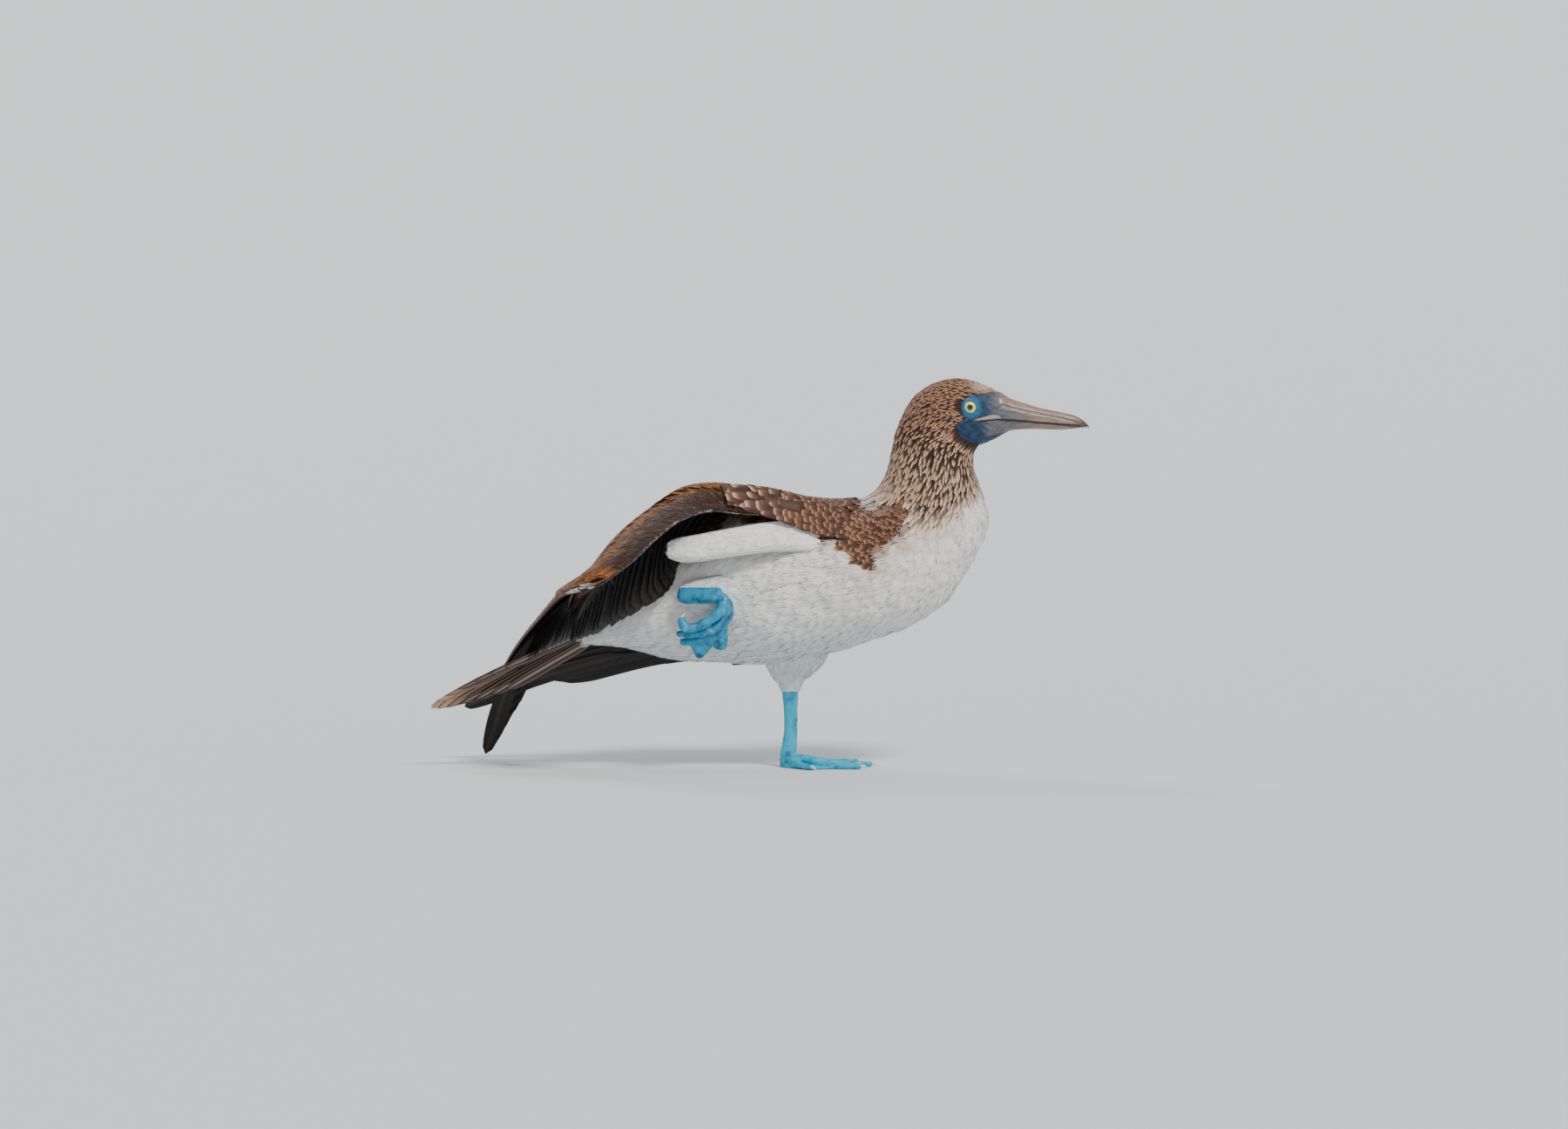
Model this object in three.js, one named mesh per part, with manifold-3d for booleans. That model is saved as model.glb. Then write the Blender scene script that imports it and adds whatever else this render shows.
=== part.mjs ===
// Blue-footed booby, life size, standing on its left leg with the right foot curled against the flank
// and the right wing lifted and drawn across the tail.
// Millimetres, +X towards the bill, +Y to the bird's left, +Z up.
// The origin is on the floor, under the shank of the standing leg.
import * as THREE from "three";
import { mergeVertices } from "three/addons/utils/BufferGeometryUtils.js";
import Module from "manifold-3d";

const wasm = await Module();
wasm.setup();

// Driving sizes
const SEAM = 0.3; // gap kept between neighbouring pieces
const SHORTEST_EDGE = 0.05; // slivers thinner than this, left by a cut, are closed up
const BODY_STATIONS = 46;
const BODY_SIDES = 24;
const EYE_RADIUS = 8.4;
const EYE_PLACE = [191.6, 386]; // x and z of the eye's centre
const EYE_SOCKET_DEPTH = 4.6; // how far the eyeball's centre lies inside the head's skin
const TAIL_ROLL = 0.5; // radians; the right edge of the tail is held up
const VANE_THICKNESS = 0.9;
const STACK = 1.35; // from one folded feather to the next
const TOE_THICKNESS = 8;
const SHANK_HEIGHT = 84;

const v3 = (x, y, z) => new THREE.Vector3(x, y, z);
const mix = (a, b, t) => a + (b - a) * t;

// Solids from geometries and back
function solidOf(geometry) {
  const bare = new THREE.BufferGeometry().setAttribute("position", geometry.getAttribute("position").clone());
  if (geometry.index) bare.setIndex(geometry.index.clone());
  const merged = mergeVertices(bare, 1e-4);
  const mesh = new wasm.Mesh({
    numProp: 3,
    vertProperties: merged.attributes.position.array,
    triVerts: new Uint32Array(merged.index.array),
  });
  const made = new wasm.Manifold(mesh);
  if (made.volume() >= 0) return made;
  const turned = new Uint32Array(merged.index.array);
  for (let i = 0; i < turned.length; i += 3) [turned[i + 1], turned[i + 2]] = [turned[i + 2], turned[i + 1]];
  return new wasm.Manifold(
    new wasm.Mesh({ numProp: 3, vertProperties: merged.attributes.position.array, triVerts: turned }),
  );
}

function geometryOf(solid) {
  const mesh = solid.getMesh();
  const positions = new Float32Array(mesh.numVert * 3);
  for (let i = 0; i < mesh.numVert; i++) {
    positions.set(mesh.vertProperties.subarray(i * mesh.numProp, i * mesh.numProp + 3), i * 3);
  }
  const geometry = new THREE.BufferGeometry();
  geometry.setAttribute("position", new THREE.BufferAttribute(positions, 3));
  geometry.setIndex(new THREE.BufferAttribute(mesh.triVerts, 1));
  geometry.computeVertexNormals();
  return geometry;
}

function grown(solid, distance) {
  const geometry = geometryOf(solid);
  const { position, normal } = geometry.attributes;
  for (let i = 0; i < position.count; i++) {
    position.setXYZ(
      i,
      position.getX(i) + normal.getX(i) * distance,
      position.getY(i) + normal.getY(i) * distance,
      position.getZ(i) + normal.getZ(i) * distance,
    );
  }
  return solidOf(geometry);
}

function united(solids) {
  return solids.reduce((sum, next) => sum.add(next));
}

function largest(solid) {
  return solid.decompose().sort((a, b) => b.volume() - a.volume())[0];
}

// A closed skin over rings of equally many points, capped at both ends
function loft(rings) {
  const sides = rings[0].length;
  const positions = rings.flat().flatMap((p) => [p.x, p.y, p.z]);
  const index = [];
  for (let i = 0; i + 1 < rings.length; i++) {
    for (let j = 0; j < sides; j++) {
      const a = i * sides + j;
      const b = i * sides + ((j + 1) % sides);
      index.push(a, b, a + sides, b, b + sides, a + sides);
    }
  }
  const cap = (ring, first, flip) => {
    const middle = ring.reduce((sum, p) => sum.add(p), v3(0, 0, 0)).divideScalar(sides);
    const centre = positions.push(middle.x, middle.y, middle.z) / 3 - 1;
    for (let j = 0; j < sides; j++) {
      const a = first + j;
      const b = first + ((j + 1) % sides);
      index.push(...(flip ? [a, b, centre].reverse() : [a, b, centre]));
    }
  };
  cap(rings[0], 0, true);
  cap(rings[rings.length - 1], (rings.length - 1) * sides, false);
  const geometry = new THREE.BufferGeometry();
  geometry.setAttribute("position", new THREE.Float32BufferAttribute(positions, 3));
  geometry.setIndex(index);
  return solidOf(geometry);
}

const curveOf = (points) => new THREE.CatmullRomCurve3(points.map((p) => v3(...p)), false, "centripetal");

// A round or oval tube along a curve. radii are [width, height] pairs, spread evenly along it.
function limb(points, radii, side = v3(0, 1, 0), steps = 14, sides = 12) {
  const path = curveOf(points);
  const sizes = curveOf(radii.map(([w, h]) => [w, h, 0]));
  const rings = [];
  for (let i = 0; i <= steps; i++) {
    const t = i / steps;
    const along = path.getTangent(t);
    const up = new THREE.Vector3().crossVectors(along, side).normalize();
    const across = new THREE.Vector3().crossVectors(up, along).normalize();
    const size = sizes.getPoint(t);
    rings.push(
      Array.from({ length: sides }, (_, j) => {
        const turn = (j / sides) * 2 * Math.PI;
        return path
          .getPoint(t)
          .addScaledVector(across, size.x * Math.cos(turn))
          .addScaledVector(up, size.y * Math.sin(turn));
      }),
    );
  }
  return loft(rings);
}

function ball(centre, radii, detail = [16, 10]) {
  const geometry = new THREE.SphereGeometry(1, ...detail);
  geometry.scale(...radii);
  geometry.translate(...centre);
  return solidOf(geometry);
}

// A thin slab through a point, square to a direction, that parts a form in two
function slab(place, direction, thickness = SEAM, reach = 400) {
  const geometry = new THREE.BoxGeometry(reach, reach, thickness);
  const turn = new THREE.Quaternion().setFromUnitVectors(v3(0, 0, 1), v3(...direction).normalize());
  geometry.applyQuaternion(turn);
  geometry.translate(...place);
  return solidOf(geometry);
}

function parted(solid, cutter) {
  return solid
    .subtract(cutter)
    .decompose()
    .sort((a, b) => b.volume() - a.volume())
    .slice(0, 2);
}

// Body: back and belly lines with half widths, from the root of the tail to the forehead
const BODY_LINES = [
  // back x, back z, belly x, belly z, half width
  [-223, 151, -219, 131, 13],
  [-193, 171, -193, 130, 23],
  [-161, 199, -161, 126, 36],
  [-124, 231, -133, 118, 47],
  [-86, 261, -100, 114, 55],
  [-45, 284, -59, 112, 61],
  [-3, 289, -12, 111, 64],
  [34, 284, 34, 120, 65],
  [60, 284, 86, 135, 64],
  [78, 288, 132, 153, 61],
  [92, 296, 171, 180, 55],
  [101, 308, 201, 228, 47],
  [106, 321, 214, 265, 41],
  [109, 335, 209, 290, 37],
  [112, 348, 201, 311, 34],
  [115, 361, 197, 325, 32],
  [121, 374, 198, 336, 30],
  [129, 390, 204, 344, 28],
  [140, 402, 206, 346, 27],
  [155, 411, 208, 347, 26],
  [174, 416, 211, 348, 25],
  [192, 415, 215, 350, 22],
  [208, 410, 220, 352, 18],
  [224, 402, 227, 356, 14.5],
];

function bodyForm() {
  const back = curveOf(BODY_LINES.map(([x, z]) => [x, 0, z]));
  const belly = curveOf(BODY_LINES.map(([, , x, z]) => [x, 0, z]));
  const widths = curveOf(BODY_LINES.map((line) => [line[4], 0, 0]));
  const rings = [];
  for (let i = 0; i <= BODY_STATIONS; i++) {
    const t = i / BODY_STATIONS;
    const top = back.getPoint(t);
    const foot = belly.getPoint(t);
    const middle = top.clone().lerp(foot, 0.5);
    const half = top.clone().sub(middle);
    const width = widths.getPoint(t).x;
    rings.push(
      Array.from({ length: BODY_SIDES }, (_, j) => {
        const turn = (j / BODY_SIDES) * 2 * Math.PI;
        const across = width * Math.sign(Math.sin(turn)) * Math.abs(Math.sin(turn)) ** 0.9;
        return middle.clone().addScaledVector(half, Math.cos(turn)).add(v3(0, across, 0));
      }),
    );
  }
  return loft(rings);
}

const NECK_BASE = { place: [150, 0, 262], direction: [0.46, 0, 0.89] };
const NECK_TOP = { place: [165, 0, 357], direction: [0.5, 0, 0.87] };

function bodyPieces(form) {
  const [torso, upper] = parted(form, slab(NECK_BASE.place, NECK_BASE.direction));
  const [a, b] = parted(upper, slab(NECK_TOP.place, NECK_TOP.direction));
  const byHeight = [a, b].sort((p, q) => p.boundingBox().max[2] - q.boundingBox().max[2]);
  return { torso, neck: byHeight[0], head: byHeight[1] };
}

// Bill: culmen and lower edge with half widths, from inside the face to the tip
const BILL_LINES = [
  // x, culmen z, lower edge z, half width
  [196, 404, 350, 15],
  [212, 405, 350, 15.5],
  [226, 401.5, 355, 14.3],
  [237, 395, 360.5, 12.8],
  [252, 390, 362, 11],
  [270, 384.5, 362, 9],
  [288, 381, 361.5, 7.4],
  [303, 377.5, 362.5, 5.8],
  [314, 372, 363.8, 4],
  [321.5, 364.6, 364, 0.8],
];

const MOUTH_LINE = [
  // x, z from the corner of the mouth to the tip
  [179, 370],
  [200, 371.5],
  [222, 373],
  [245, 371.5],
  [272, 369],
  [300, 366.5],
  [322, 364.8],
  [330, 364.2],
];

function billForm() {
  const lines = curveOf(BILL_LINES.map(([x, top]) => [x, 0, top]));
  const lows = curveOf(BILL_LINES.map(([x, , low]) => [x, 0, low]));
  const widths = curveOf(BILL_LINES.map((line) => [line[3], 0, 0]));
  const rings = [];
  const stations = 22;
  const sides = 16;
  for (let i = 0; i <= stations; i++) {
    const t = i / stations;
    const top = lines.getPoint(t);
    const low = lows.getPoint(t);
    const middle = top.clone().lerp(low, 0.5);
    const half = top.clone().sub(middle);
    const width = widths.getPoint(t).x;
    rings.push(
      Array.from({ length: sides }, (_, j) => {
        const turn = (j / sides) * 2 * Math.PI;
        const across = width * Math.sign(Math.sin(turn)) * Math.abs(Math.sin(turn)) ** 1.15;
        return middle.clone().addScaledVector(half, Math.cos(turn)).add(v3(0, across, 0));
      }),
    );
  }
  return loft(rings);
}

// A sheet along the line of the mouth, as wide as reach on each side of the bird's middle
function mouthSheet(thickness, from, to) {
  const shape = new THREE.Shape();
  shape.moveTo(MOUTH_LINE[0][0], MOUTH_LINE[0][1] - thickness / 2);
  MOUTH_LINE.slice(1).forEach(([x, z]) => shape.lineTo(x, z - thickness / 2));
  [...MOUTH_LINE].reverse().forEach(([x, z]) => shape.lineTo(x, z + thickness / 2));
  shape.closePath();
  const geometry = new THREE.ExtrudeGeometry(shape, { depth: to - from, bevelEnabled: false });
  geometry.rotateX(Math.PI / 2);
  geometry.translate(0, to, 0);
  return solidOf(geometry);
}

const FACE_CUT = { place: [222, 0, 378], direction: [0.93, 0, 0.36] };

function headPieces(headForm) {
  const halfWidthAtEye = 23.6;
  const socketY = halfWidthAtEye - EYE_SOCKET_DEPTH;
  const whole = headForm.add(billForm());
  const [head, bill] = parted(largest(whole), slab(FACE_CUT.place, FACE_CUT.direction));
  const [upper, lower] = parted(bill, mouthSheet(SEAM, -30, 30)).sort(
    (p, q) => q.boundingBox().max[2] - p.boundingBox().max[2],
  );
  const grooves = [-1, 1].map((side) => mouthSheet(1.2, side < 0 ? -40 : 19, side < 0 ? -19 : 40));
  let face = head.subtract(united(grooves));
  const eyes = {};
  for (const [name, side] of [
    ["eye_right", -1],
    ["eye_left", 1],
  ]) {
    const centre = [EYE_PLACE[0], side * socketY, EYE_PLACE[1]];
    const lid = new THREE.TorusGeometry(EYE_RADIUS - 0.6, 1.5, 5, 16);
    lid.rotateX(Math.PI / 2);
    lid.translate(EYE_PLACE[0], side * (halfWidthAtEye - 1.1), EYE_PLACE[1]);
    face = face.add(solidOf(lid)).subtract(ball(centre, [1, 1, 1].map((n) => n * (EYE_RADIUS + SEAM))));
    eyes[name] = ball(centre, [EYE_RADIUS, EYE_RADIUS, EYE_RADIUS]);
  }
  return { head: largest(face), bill_upper: upper, bill_lower: lower, ...eyes };
}

// Legs
function thighLeft() {
  return limb(
    [[18, 16, 150], [12, 14, 122], [5, 8, 100], [1, 4, SHANK_HEIGHT]],
    [[34, 38], [27, 30], [15, 17], [10.5, 12]],
    v3(0, 1, 0),
    12,
    16,
  );
}

function shankLeft() {
  return limb(
    [[1, 4, SHANK_HEIGHT - SEAM], [0, 3, 68], [0.5, 3, 42], [0, 3, 26]],
    [[7, 8.6], [5.6, 7.2], [5.2, 6.4], [6.4, 7.6]],
    v3(0, 1, 0),
    8,
    14,
  );
}

// Toes of the standing foot: knuckle, pad and tip on the floor, with the claw's length
const STANDING_TOES = [
  // pad x, pad y, tip x, tip y, claw
  [13, -20, 24, -33, 8],
  [42, -18, 76, -24, 9],
  [48, 4, 88, 8, 9],
  [42, 24, 73, 43, 8],
];
const FOOT_TOP = 25.6;
const WEB_THICKNESS = 2.2;
const HEEL = [-10, 3];

function toe([padX, padY, tipX, tipY, claw]) {
  const heading = v3(tipX - padX, tipY - padY, 0).normalize();
  const clawTip = v3(tipX, tipY, 0.8).addScaledVector(heading, claw);
  const body = limb(
    [[-2, 3, 10], [padX * 0.45, 3 + (padY - 3) * 0.45, 9], [padX, padY, 3.4], [tipX, tipY, 2.6]],
    [[4.6, 6], [4.4, 5.2], [TOE_THICKNESS / 2, TOE_THICKNESS / 2], [3, 3]],
    v3(0, 0, 1),
    6,
    8,
  );
  const reach = 3;
  const behind = [tipX - heading.x * reach, tipY - heading.y * reach, 3.4];
  const ahead = [tipX + heading.x * reach, tipY + heading.y * reach, 3.2];
  const nail = limb(
    [behind, ahead, clawTip.toArray()],
    [[2.2, 2.2], [1.8, 1.8], [0.4, 0.4]],
    v3(0, 0, 1),
    3,
    6,
  );
  return body.add(nail);
}

function web(first, second) {
  const shape = new THREE.Shape();
  shape.moveTo(...HEEL);
  shape.lineTo(first[0], first[1]);
  shape.lineTo(first[2], first[3]);
  const inward = 0.8;
  shape.quadraticCurveTo(
    ((first[2] + second[2]) / 2) * inward,
    ((first[3] + second[3]) / 2) * inward,
    second[2],
    second[3],
  );
  shape.lineTo(second[0], second[1]);
  shape.closePath();
  const settings = { depth: WEB_THICKNESS, bevelEnabled: false, curveSegments: 6 };
  return solidOf(new THREE.ExtrudeGeometry(shape, settings));
}

function footLeft() {
  const webs = [0, 1, 2].map((i) => web(STANDING_TOES[i], STANDING_TOES[i + 1]));
  const heel = limb(
    [[0, 3, FOOT_TOP], [-1, 3, 16], [-4, 3, 6], [-9, 3, 2]],
    [[6.4, 7.6], [7.4, 9.6], [8.5, 11], [7, 6]],
    v3(0, 1, 0),
    7,
    12,
  );
  const whole = united([...STANDING_TOES.map(toe), ...webs, heel]);
  return largest(whole.trimByPlane([0, 0, 1], 0).trimByPlane([0, 0, -1], -(FOOT_TOP - 0.05)));
}

function thighRight() {
  return limb(
    [[-30, -38, 178], [-60, -48, 182], [-95, -56, 186], [-117, -60, 189]],
    [[20, 34], [22, 32], [18, 24], [9.5, 10]],
    v3(0, 1, 0),
    12,
    16,
  );
}

function shankRight() {
  return limb(
    [[-117.5, -61, 189], [-105, -66, 187], [-90, -70, 188], [-76, -74, 189]],
    [[7.5, 8.5], [6.2, 8.4], [5.6, 7.2], [6, 7.4]],
    v3(0, 1, 0),
    8,
    14,
  );
}

// Toes of the raised foot, curled back under the shank: points along each, with radii
const RAISED_TOES = [
  {
    path: [
      [-78, -74, 187], [-68, -78, 184], [-74, -84, 171],
      [-92, -88, 159], [-108, -90, 156], [-113, -88, 165],
    ],
    radii: [[5.5, 6], [6, 6.5], [5.4, 5.6], [5, 5], [4.8, 5.2], [4, 4.6]],
  },
  {
    path: [
      [-76, -73, 188], [-64, -74, 178], [-72, -77, 160],
      [-92, -79, 150], [-112, -80, 149], [-121, -80, 149],
    ],
    radii: [[5.5, 6], [5.6, 6], [5, 5.4], [4.6, 4.8], [3.6, 4], [0.8, 1]],
  },
  {
    path: [
      [-76, -71, 188], [-63, -70, 176], [-70, -70, 157],
      [-90, -70, 143], [-106, -71, 140], [-113, -71, 140],
    ],
    radii: [[5, 5.5], [5.2, 5.6], [4.6, 5], [4.4, 4.6], [4, 4.4], [3.2, 3.6]],
  },
];
// Outlines in x and z of the folded webs that hang under the raised toes
const BIG_WEB = [
  [-66, 172], [-80, 152], [-104, 142], [-101, 130],
  [-97, 123], [-90, 124], [-78, 138], [-68, 150],
];
const SMALL_WEB = [[-64, 174], [-65, 136], [-72, 131], [-80, 135], [-76, 150]];
const FOLDED_THICKNESS = 4;

function lobe(points, thickness) {
  const shape = new THREE.Shape();
  points.forEach(([x, z], i) => (i ? shape.lineTo(x, z) : shape.moveTo(x, z)));
  shape.closePath();
  const geometry = new THREE.ExtrudeGeometry(shape, { depth: thickness, bevelEnabled: false });
  geometry.rotateX(Math.PI / 2);
  return geometry;
}

function footRight() {
  const toes = RAISED_TOES.map(({ path, radii }) => limb(path, radii, v3(0, 1, 0), 11, 8));
  const bigWeb = lobe(BIG_WEB, FOLDED_THICKNESS);
  bigWeb.translate(0, -69, 0);
  const smallWeb = lobe(SMALL_WEB, FOLDED_THICKNESS);
  smallWeb.translate(0, -64.5, 0);
  return united([...toes, solidOf(bigWeb), solidOf(smallWeb)]);
}

// A wing's or tail's sheet. Each station is [front edge, back edge, thickness of flesh, camber and its way].
// The function gives the point at u along the stations and v from front to back, w above the sheet.
const CAMBER_FORWARD = 0.65; // under 1 brings the highest point of the camber towards the front edge

function sheetOf(stations) {
  const front = curveOf(stations.map((station) => station[0]));
  const back = curveOf(stations.map((station) => station[1]));
  const camber = curveOf(stations.map((station) => station[3]));
  return (u, v, w = 0) => {
    const start = front.getPoint(u);
    const chord = back.getPoint(u).sub(start);
    const out = camber.getPoint(u);
    const rise = out.length() * Math.sin(Math.PI * THREE.MathUtils.clamp(v, 0, 1) ** CAMBER_FORWARD);
    const face = out.clone().addScaledVector(chord, -out.dot(chord) / chord.lengthSq()).normalize();
    return start.addScaledVector(chord, v).addScaledVector(face, rise + w);
  };
}

// The flesh of a wing or the stub of a tail: a rounded slab on a sheet, over part of its u and v
function flesh(stations, [u0, u1], [v0, v1], steps, sides = 5) {
  const sheet = sheetOf(stations);
  const depth = curveOf(stations.map((station) => [station[2], 0, 0]));
  const rings = [];
  for (let i = 0; i <= steps; i++) {
    const u = mix(u0, u1, i / steps);
    rings.push(
      Array.from({ length: sides * 2 }, (_, j) => {
        const across = j < sides ? j / sides : 2 - j / sides;
        const half = depth.getPoint(u).x * 0.5 * Math.sqrt(Math.max(0, 1 - (2 * across - 1) ** 2)) + 0.4;
        return sheet(u, mix(v0, v1, across), j < sides ? half : -half);
      }),
    );
  }
  return loft(rings);
}

// One feather as a thin vane. root and tip are [u, v] on the sheet, rise is its height above it at root,
// middle and tip, and tilt lifts one edge over the next feather.
const VANE_STEPS = 3;
const VANE_WIDTHS = [0.55, 1, 0.95, 0.26];

function vane(sheet, { root, tip, width, rise, tilt }) {
  const rings = [];
  for (let i = 0; i <= VANE_STEPS; i++) {
    const t = i / VANE_STEPS;
    const u = mix(root[0], tip[0], t);
    const v = mix(root[1], tip[1], t);
    const step = 0.02;
    const here = sheet(u, v);
    const along = sheet(u + (tip[0] - root[0]) * step, v + (tip[1] - root[1]) * step)
      .sub(here)
      .normalize();
    const up = sheet(u, v, 1).sub(here).normalize();
    const across = new THREE.Vector3().crossVectors(along, up).normalize();
    const height = t < 0.5 ? mix(rise[0], rise[1], t * 2) : mix(rise[1], rise[2], t * 2 - 1);
    const half = (width / 2) * VANE_WIDTHS[i];
    const thick = VANE_THICKNESS / 2;
    const corners = [
      [-1, 1],
      [1, 1],
      [1, -1],
      [-1, -1],
    ];
    rings.push(
      corners.map(([side, over]) =>
        here
          .clone()
          .addScaledVector(across, side * half)
          .addScaledVector(up, height + side * tilt * 0.5 * VANE_WIDTHS[i] + over * thick),
      ),
    );
  }
  return loft(rings);
}

// A row of like feathers on a sheet. Each of root and tip is [[u, v] of the first, [u, v] of the last].
// stack is how much higher than the one before it each feather lies, where they are folded over one another.
function tier(sheet, { count, roots, tips, width, rise, tilt, stack = 0 }) {
  return Array.from({ length: count }, (_, i) => {
    const t = i / (count - 1);
    const uneven = 0.012 * Math.sin(i * 2.4);
    return vane(sheet, {
      root: [mix(roots[0][0], roots[1][0], t), mix(roots[0][1], roots[1][1], t)],
      tip: [mix(tips[0][0], tips[1][0], t) + uneven, mix(tips[0][1], tips[1][1], t) + uneven],
      width: Array.isArray(width) ? mix(width[0], width[1], t) : width,
      rise: rise.map((height) => height + stack * i),
      tilt,
    });
  });
}

// Tail: a fan of feathers, the outer ones shorter, held with its right edge up
const TAIL_ROOT = [-205, 0, 146];
const TAIL_TIP = [-384, -6, 57];
const TAIL_FEATHERS = 12;

function tailForm() {
  const start = v3(...TAIL_ROOT);
  const along = v3(...TAIL_TIP).sub(start);
  const across = v3(0, Math.cos(TAIL_ROLL), -Math.sin(TAIL_ROLL));
  const stations = [
    [0, 15, 15],
    [0.5, 27, 7],
    [1, 38, 3],
  ].map(([t, half, thickness]) => {
    const middle = start.clone().addScaledVector(along, t);
    const right = middle.clone().addScaledVector(across, -half).toArray();
    const left = middle.clone().addScaledVector(across, half).toArray();
    return [right, left, thickness, [0, 2, 4]];
  });
  const sheet = sheetOf(stations);
  const vanes = Array.from({ length: TAIL_FEATHERS }, (_, i) => {
    const side = (2 * i) / (TAIL_FEATHERS - 1) - 1;
    const fromMiddle = Math.abs(i - (TAIL_FEATHERS - 1) / 2);
    const height = STACK * (TAIL_FEATHERS / 4 - fromMiddle - side * 0.5);
    return vane(sheet, {
      root: [0.04, 0.5 + 0.3 * side],
      tip: [1 - 0.46 * Math.abs(side) ** 1.25, 0.5 + 0.46 * side],
      width: 19,
      rise: [height, height, height],
      tilt: 0,
    });
  });
  const coverts = tier(sheet, {
    count: 6,
    roots: [
      [0.02, 0.2],
      [0.02, 0.8],
    ],
    tips: [
      [0.3, 0.14],
      [0.3, 0.86],
    ],
    width: 13,
    rise: [6, 8, 5.4],
    tilt: 1,
  });
  return united([flesh(stations, [0, 0.26], [0.06, 0.94], 3), ...vanes, ...coverts]);
}

// Right wing: leading edge, trailing edge, thickness and camber along the arm
const RIGHT_ARM = [
  [[14, -52, 272], [10, -18, 288], 10, [0, -2, 6]],
  [[-20, -60, 274], [-28, -16, 286], 14, [0, -2, 12]],
  [[-52, -74, 276], [-74, -22, 262], 17, [0, -4, 27]],
  [[-84, -90, 279], [-112, -34, 224], 18, [0, -6, 43]],
  [[-114, -106, 270], [-132, -54, 192], 18, [-4, -8, 46]],
  [[-140, -124, 251], [-162, -62, 170], 16, [-8, -8, 40]],
  [[-160, -138, 232], [-190, -64, 154], 14, [-10, -8, 32]],
  [[-184, -148, 214], [-214, -66, 144], 12, [-10, -6, 20]],
  [[-205, -154, 200], [-228, -76, 142], 9, [-8, -2, 9]],
];

const RIGHT_HAND = [
  [[-216, -153, 198], [-212, -92, 204], 9, [-4, 1, 4]],
  [[-240, -118, 189], [-206, -60, 202], 8, [-3, 1, 3]],
  [[-266, -60, 160], [-222, -20, 176], 6, [-3, 1.5, 3]],
  [[-289, -10, 130], [-246, 10, 146], 5, [-3, 2, 3]],
  [[-310, 32, 96], [-268, 36, 108], 4, [-4, 3, 2]],
  [[-324, 56, 60], [-286, 56, 66], 3, [-4, 4, 1]],
  [[-329, 66, 32], [-306, 66, 32], 2.4, [-3, 4, 0]],
  [[-328, 69, 9], [-325, 69, 9], 1, [-0.2, 0.3, 0]],
];

// Left wing, folded and held a little low: lower edge and upper edge along it, seen from the bird's left
const LEFT_ARM = [
  [[66, 62, 170], [66, 60, 232], 6, [0, 4, 0]],
  [[52, 70, 146], [50, 56, 262], 12, [0, 12, 0]],
  [[20, 74, 124], [14, 44, 280], 15, [0, 20, 3]],
  [[-20, 74, 109], [-34, 36, 284], 16, [0, 26, 4]],
  [[-62, 72, 104], [-84, 30, 262], 15, [0, 26, 5]],
  [[-104, 70, 102], [-126, 24, 234], 13, [0, 22, 5]],
  [[-140, 70, 99], [-160, 24, 204], 10, [0, 18, 4]],
];

const LEFT_HAND = [
  [[-141, 70, 99], [-161, 24, 203], 9, [0, 18, 4]],
  [[-180, 72, 93], [-200, 34, 172], 7, [0, 12, 3]],
  [[-230, 76, 85], [-246, 52, 138], 5, [0, 6, 2]],
  [[-285, 80, 75], [-290, 70, 103], 4, [0, 3, 1]],
  [[-326, 84, 63], [-328, 81, 77], 3, [0, 1, 0]],
  [[-350, 86, 58], [-350, 86, 60], 1, [0, 0.1, 0]],
];

function rightArmForm() {
  const sheet = sheetOf(RIGHT_ARM);
  const secondaries = tier(sheet, {
    count: 8,
    roots: [
      [0.1, 0.34],
      [0.88, 0.34],
    ],
    tips: [
      [0.2, 1],
      [0.93, 1],
    ],
    width: 42,
    rise: [0.5, 0, 0],
    tilt: 2.2,
  });
  const greater = tier(sheet, {
    count: 6,
    roots: [
      [0.08, 0.24],
      [0.9, 0.24],
    ],
    tips: [
      [0.17, 0.68],
      [0.95, 0.68],
    ],
    width: 43,
    rise: [3.5, 4.6, 2.9],
    tilt: 1.8,
  });
  const median = tier(sheet, {
    count: 6,
    roots: [
      [0.06, 0.12],
      [0.92, 0.12],
    ],
    tips: [
      [0.13, 0.46],
      [0.98, 0.46],
    ],
    width: 47,
    rise: [4, 8, 6],
    tilt: 1.6,
  });
  return united([flesh(RIGHT_ARM, [0, 1], [0, 0.5], 9), ...secondaries, ...greater, ...median]);
}

function rightHandForm() {
  const sheet = sheetOf(RIGHT_HAND);
  const primaries = tier(sheet, {
    count: 10,
    roots: [
      [0.05, 0.44],
      [0.3, 0.24],
    ],
    tips: [
      [0.52, 1.04],
      [1, 0.5],
    ],
    width: [26, 19],
    rise: [4, 4, 4],
    tilt: 0.2,
    stack: -STACK,
  });
  const coverts = tier(sheet, {
    count: 4,
    roots: [
      [0.03, 0.4],
      [0.24, 0.14],
    ],
    tips: [
      [0.28, 0.84],
      [0.62, 0.36],
    ],
    width: 27,
    rise: [6, 7, 6],
    tilt: 0.2,
    stack: -STACK,
  });
  return united([flesh(RIGHT_HAND, [0, 0.45], [0, 0.55], 6), ...primaries, ...coverts]);
}

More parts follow.
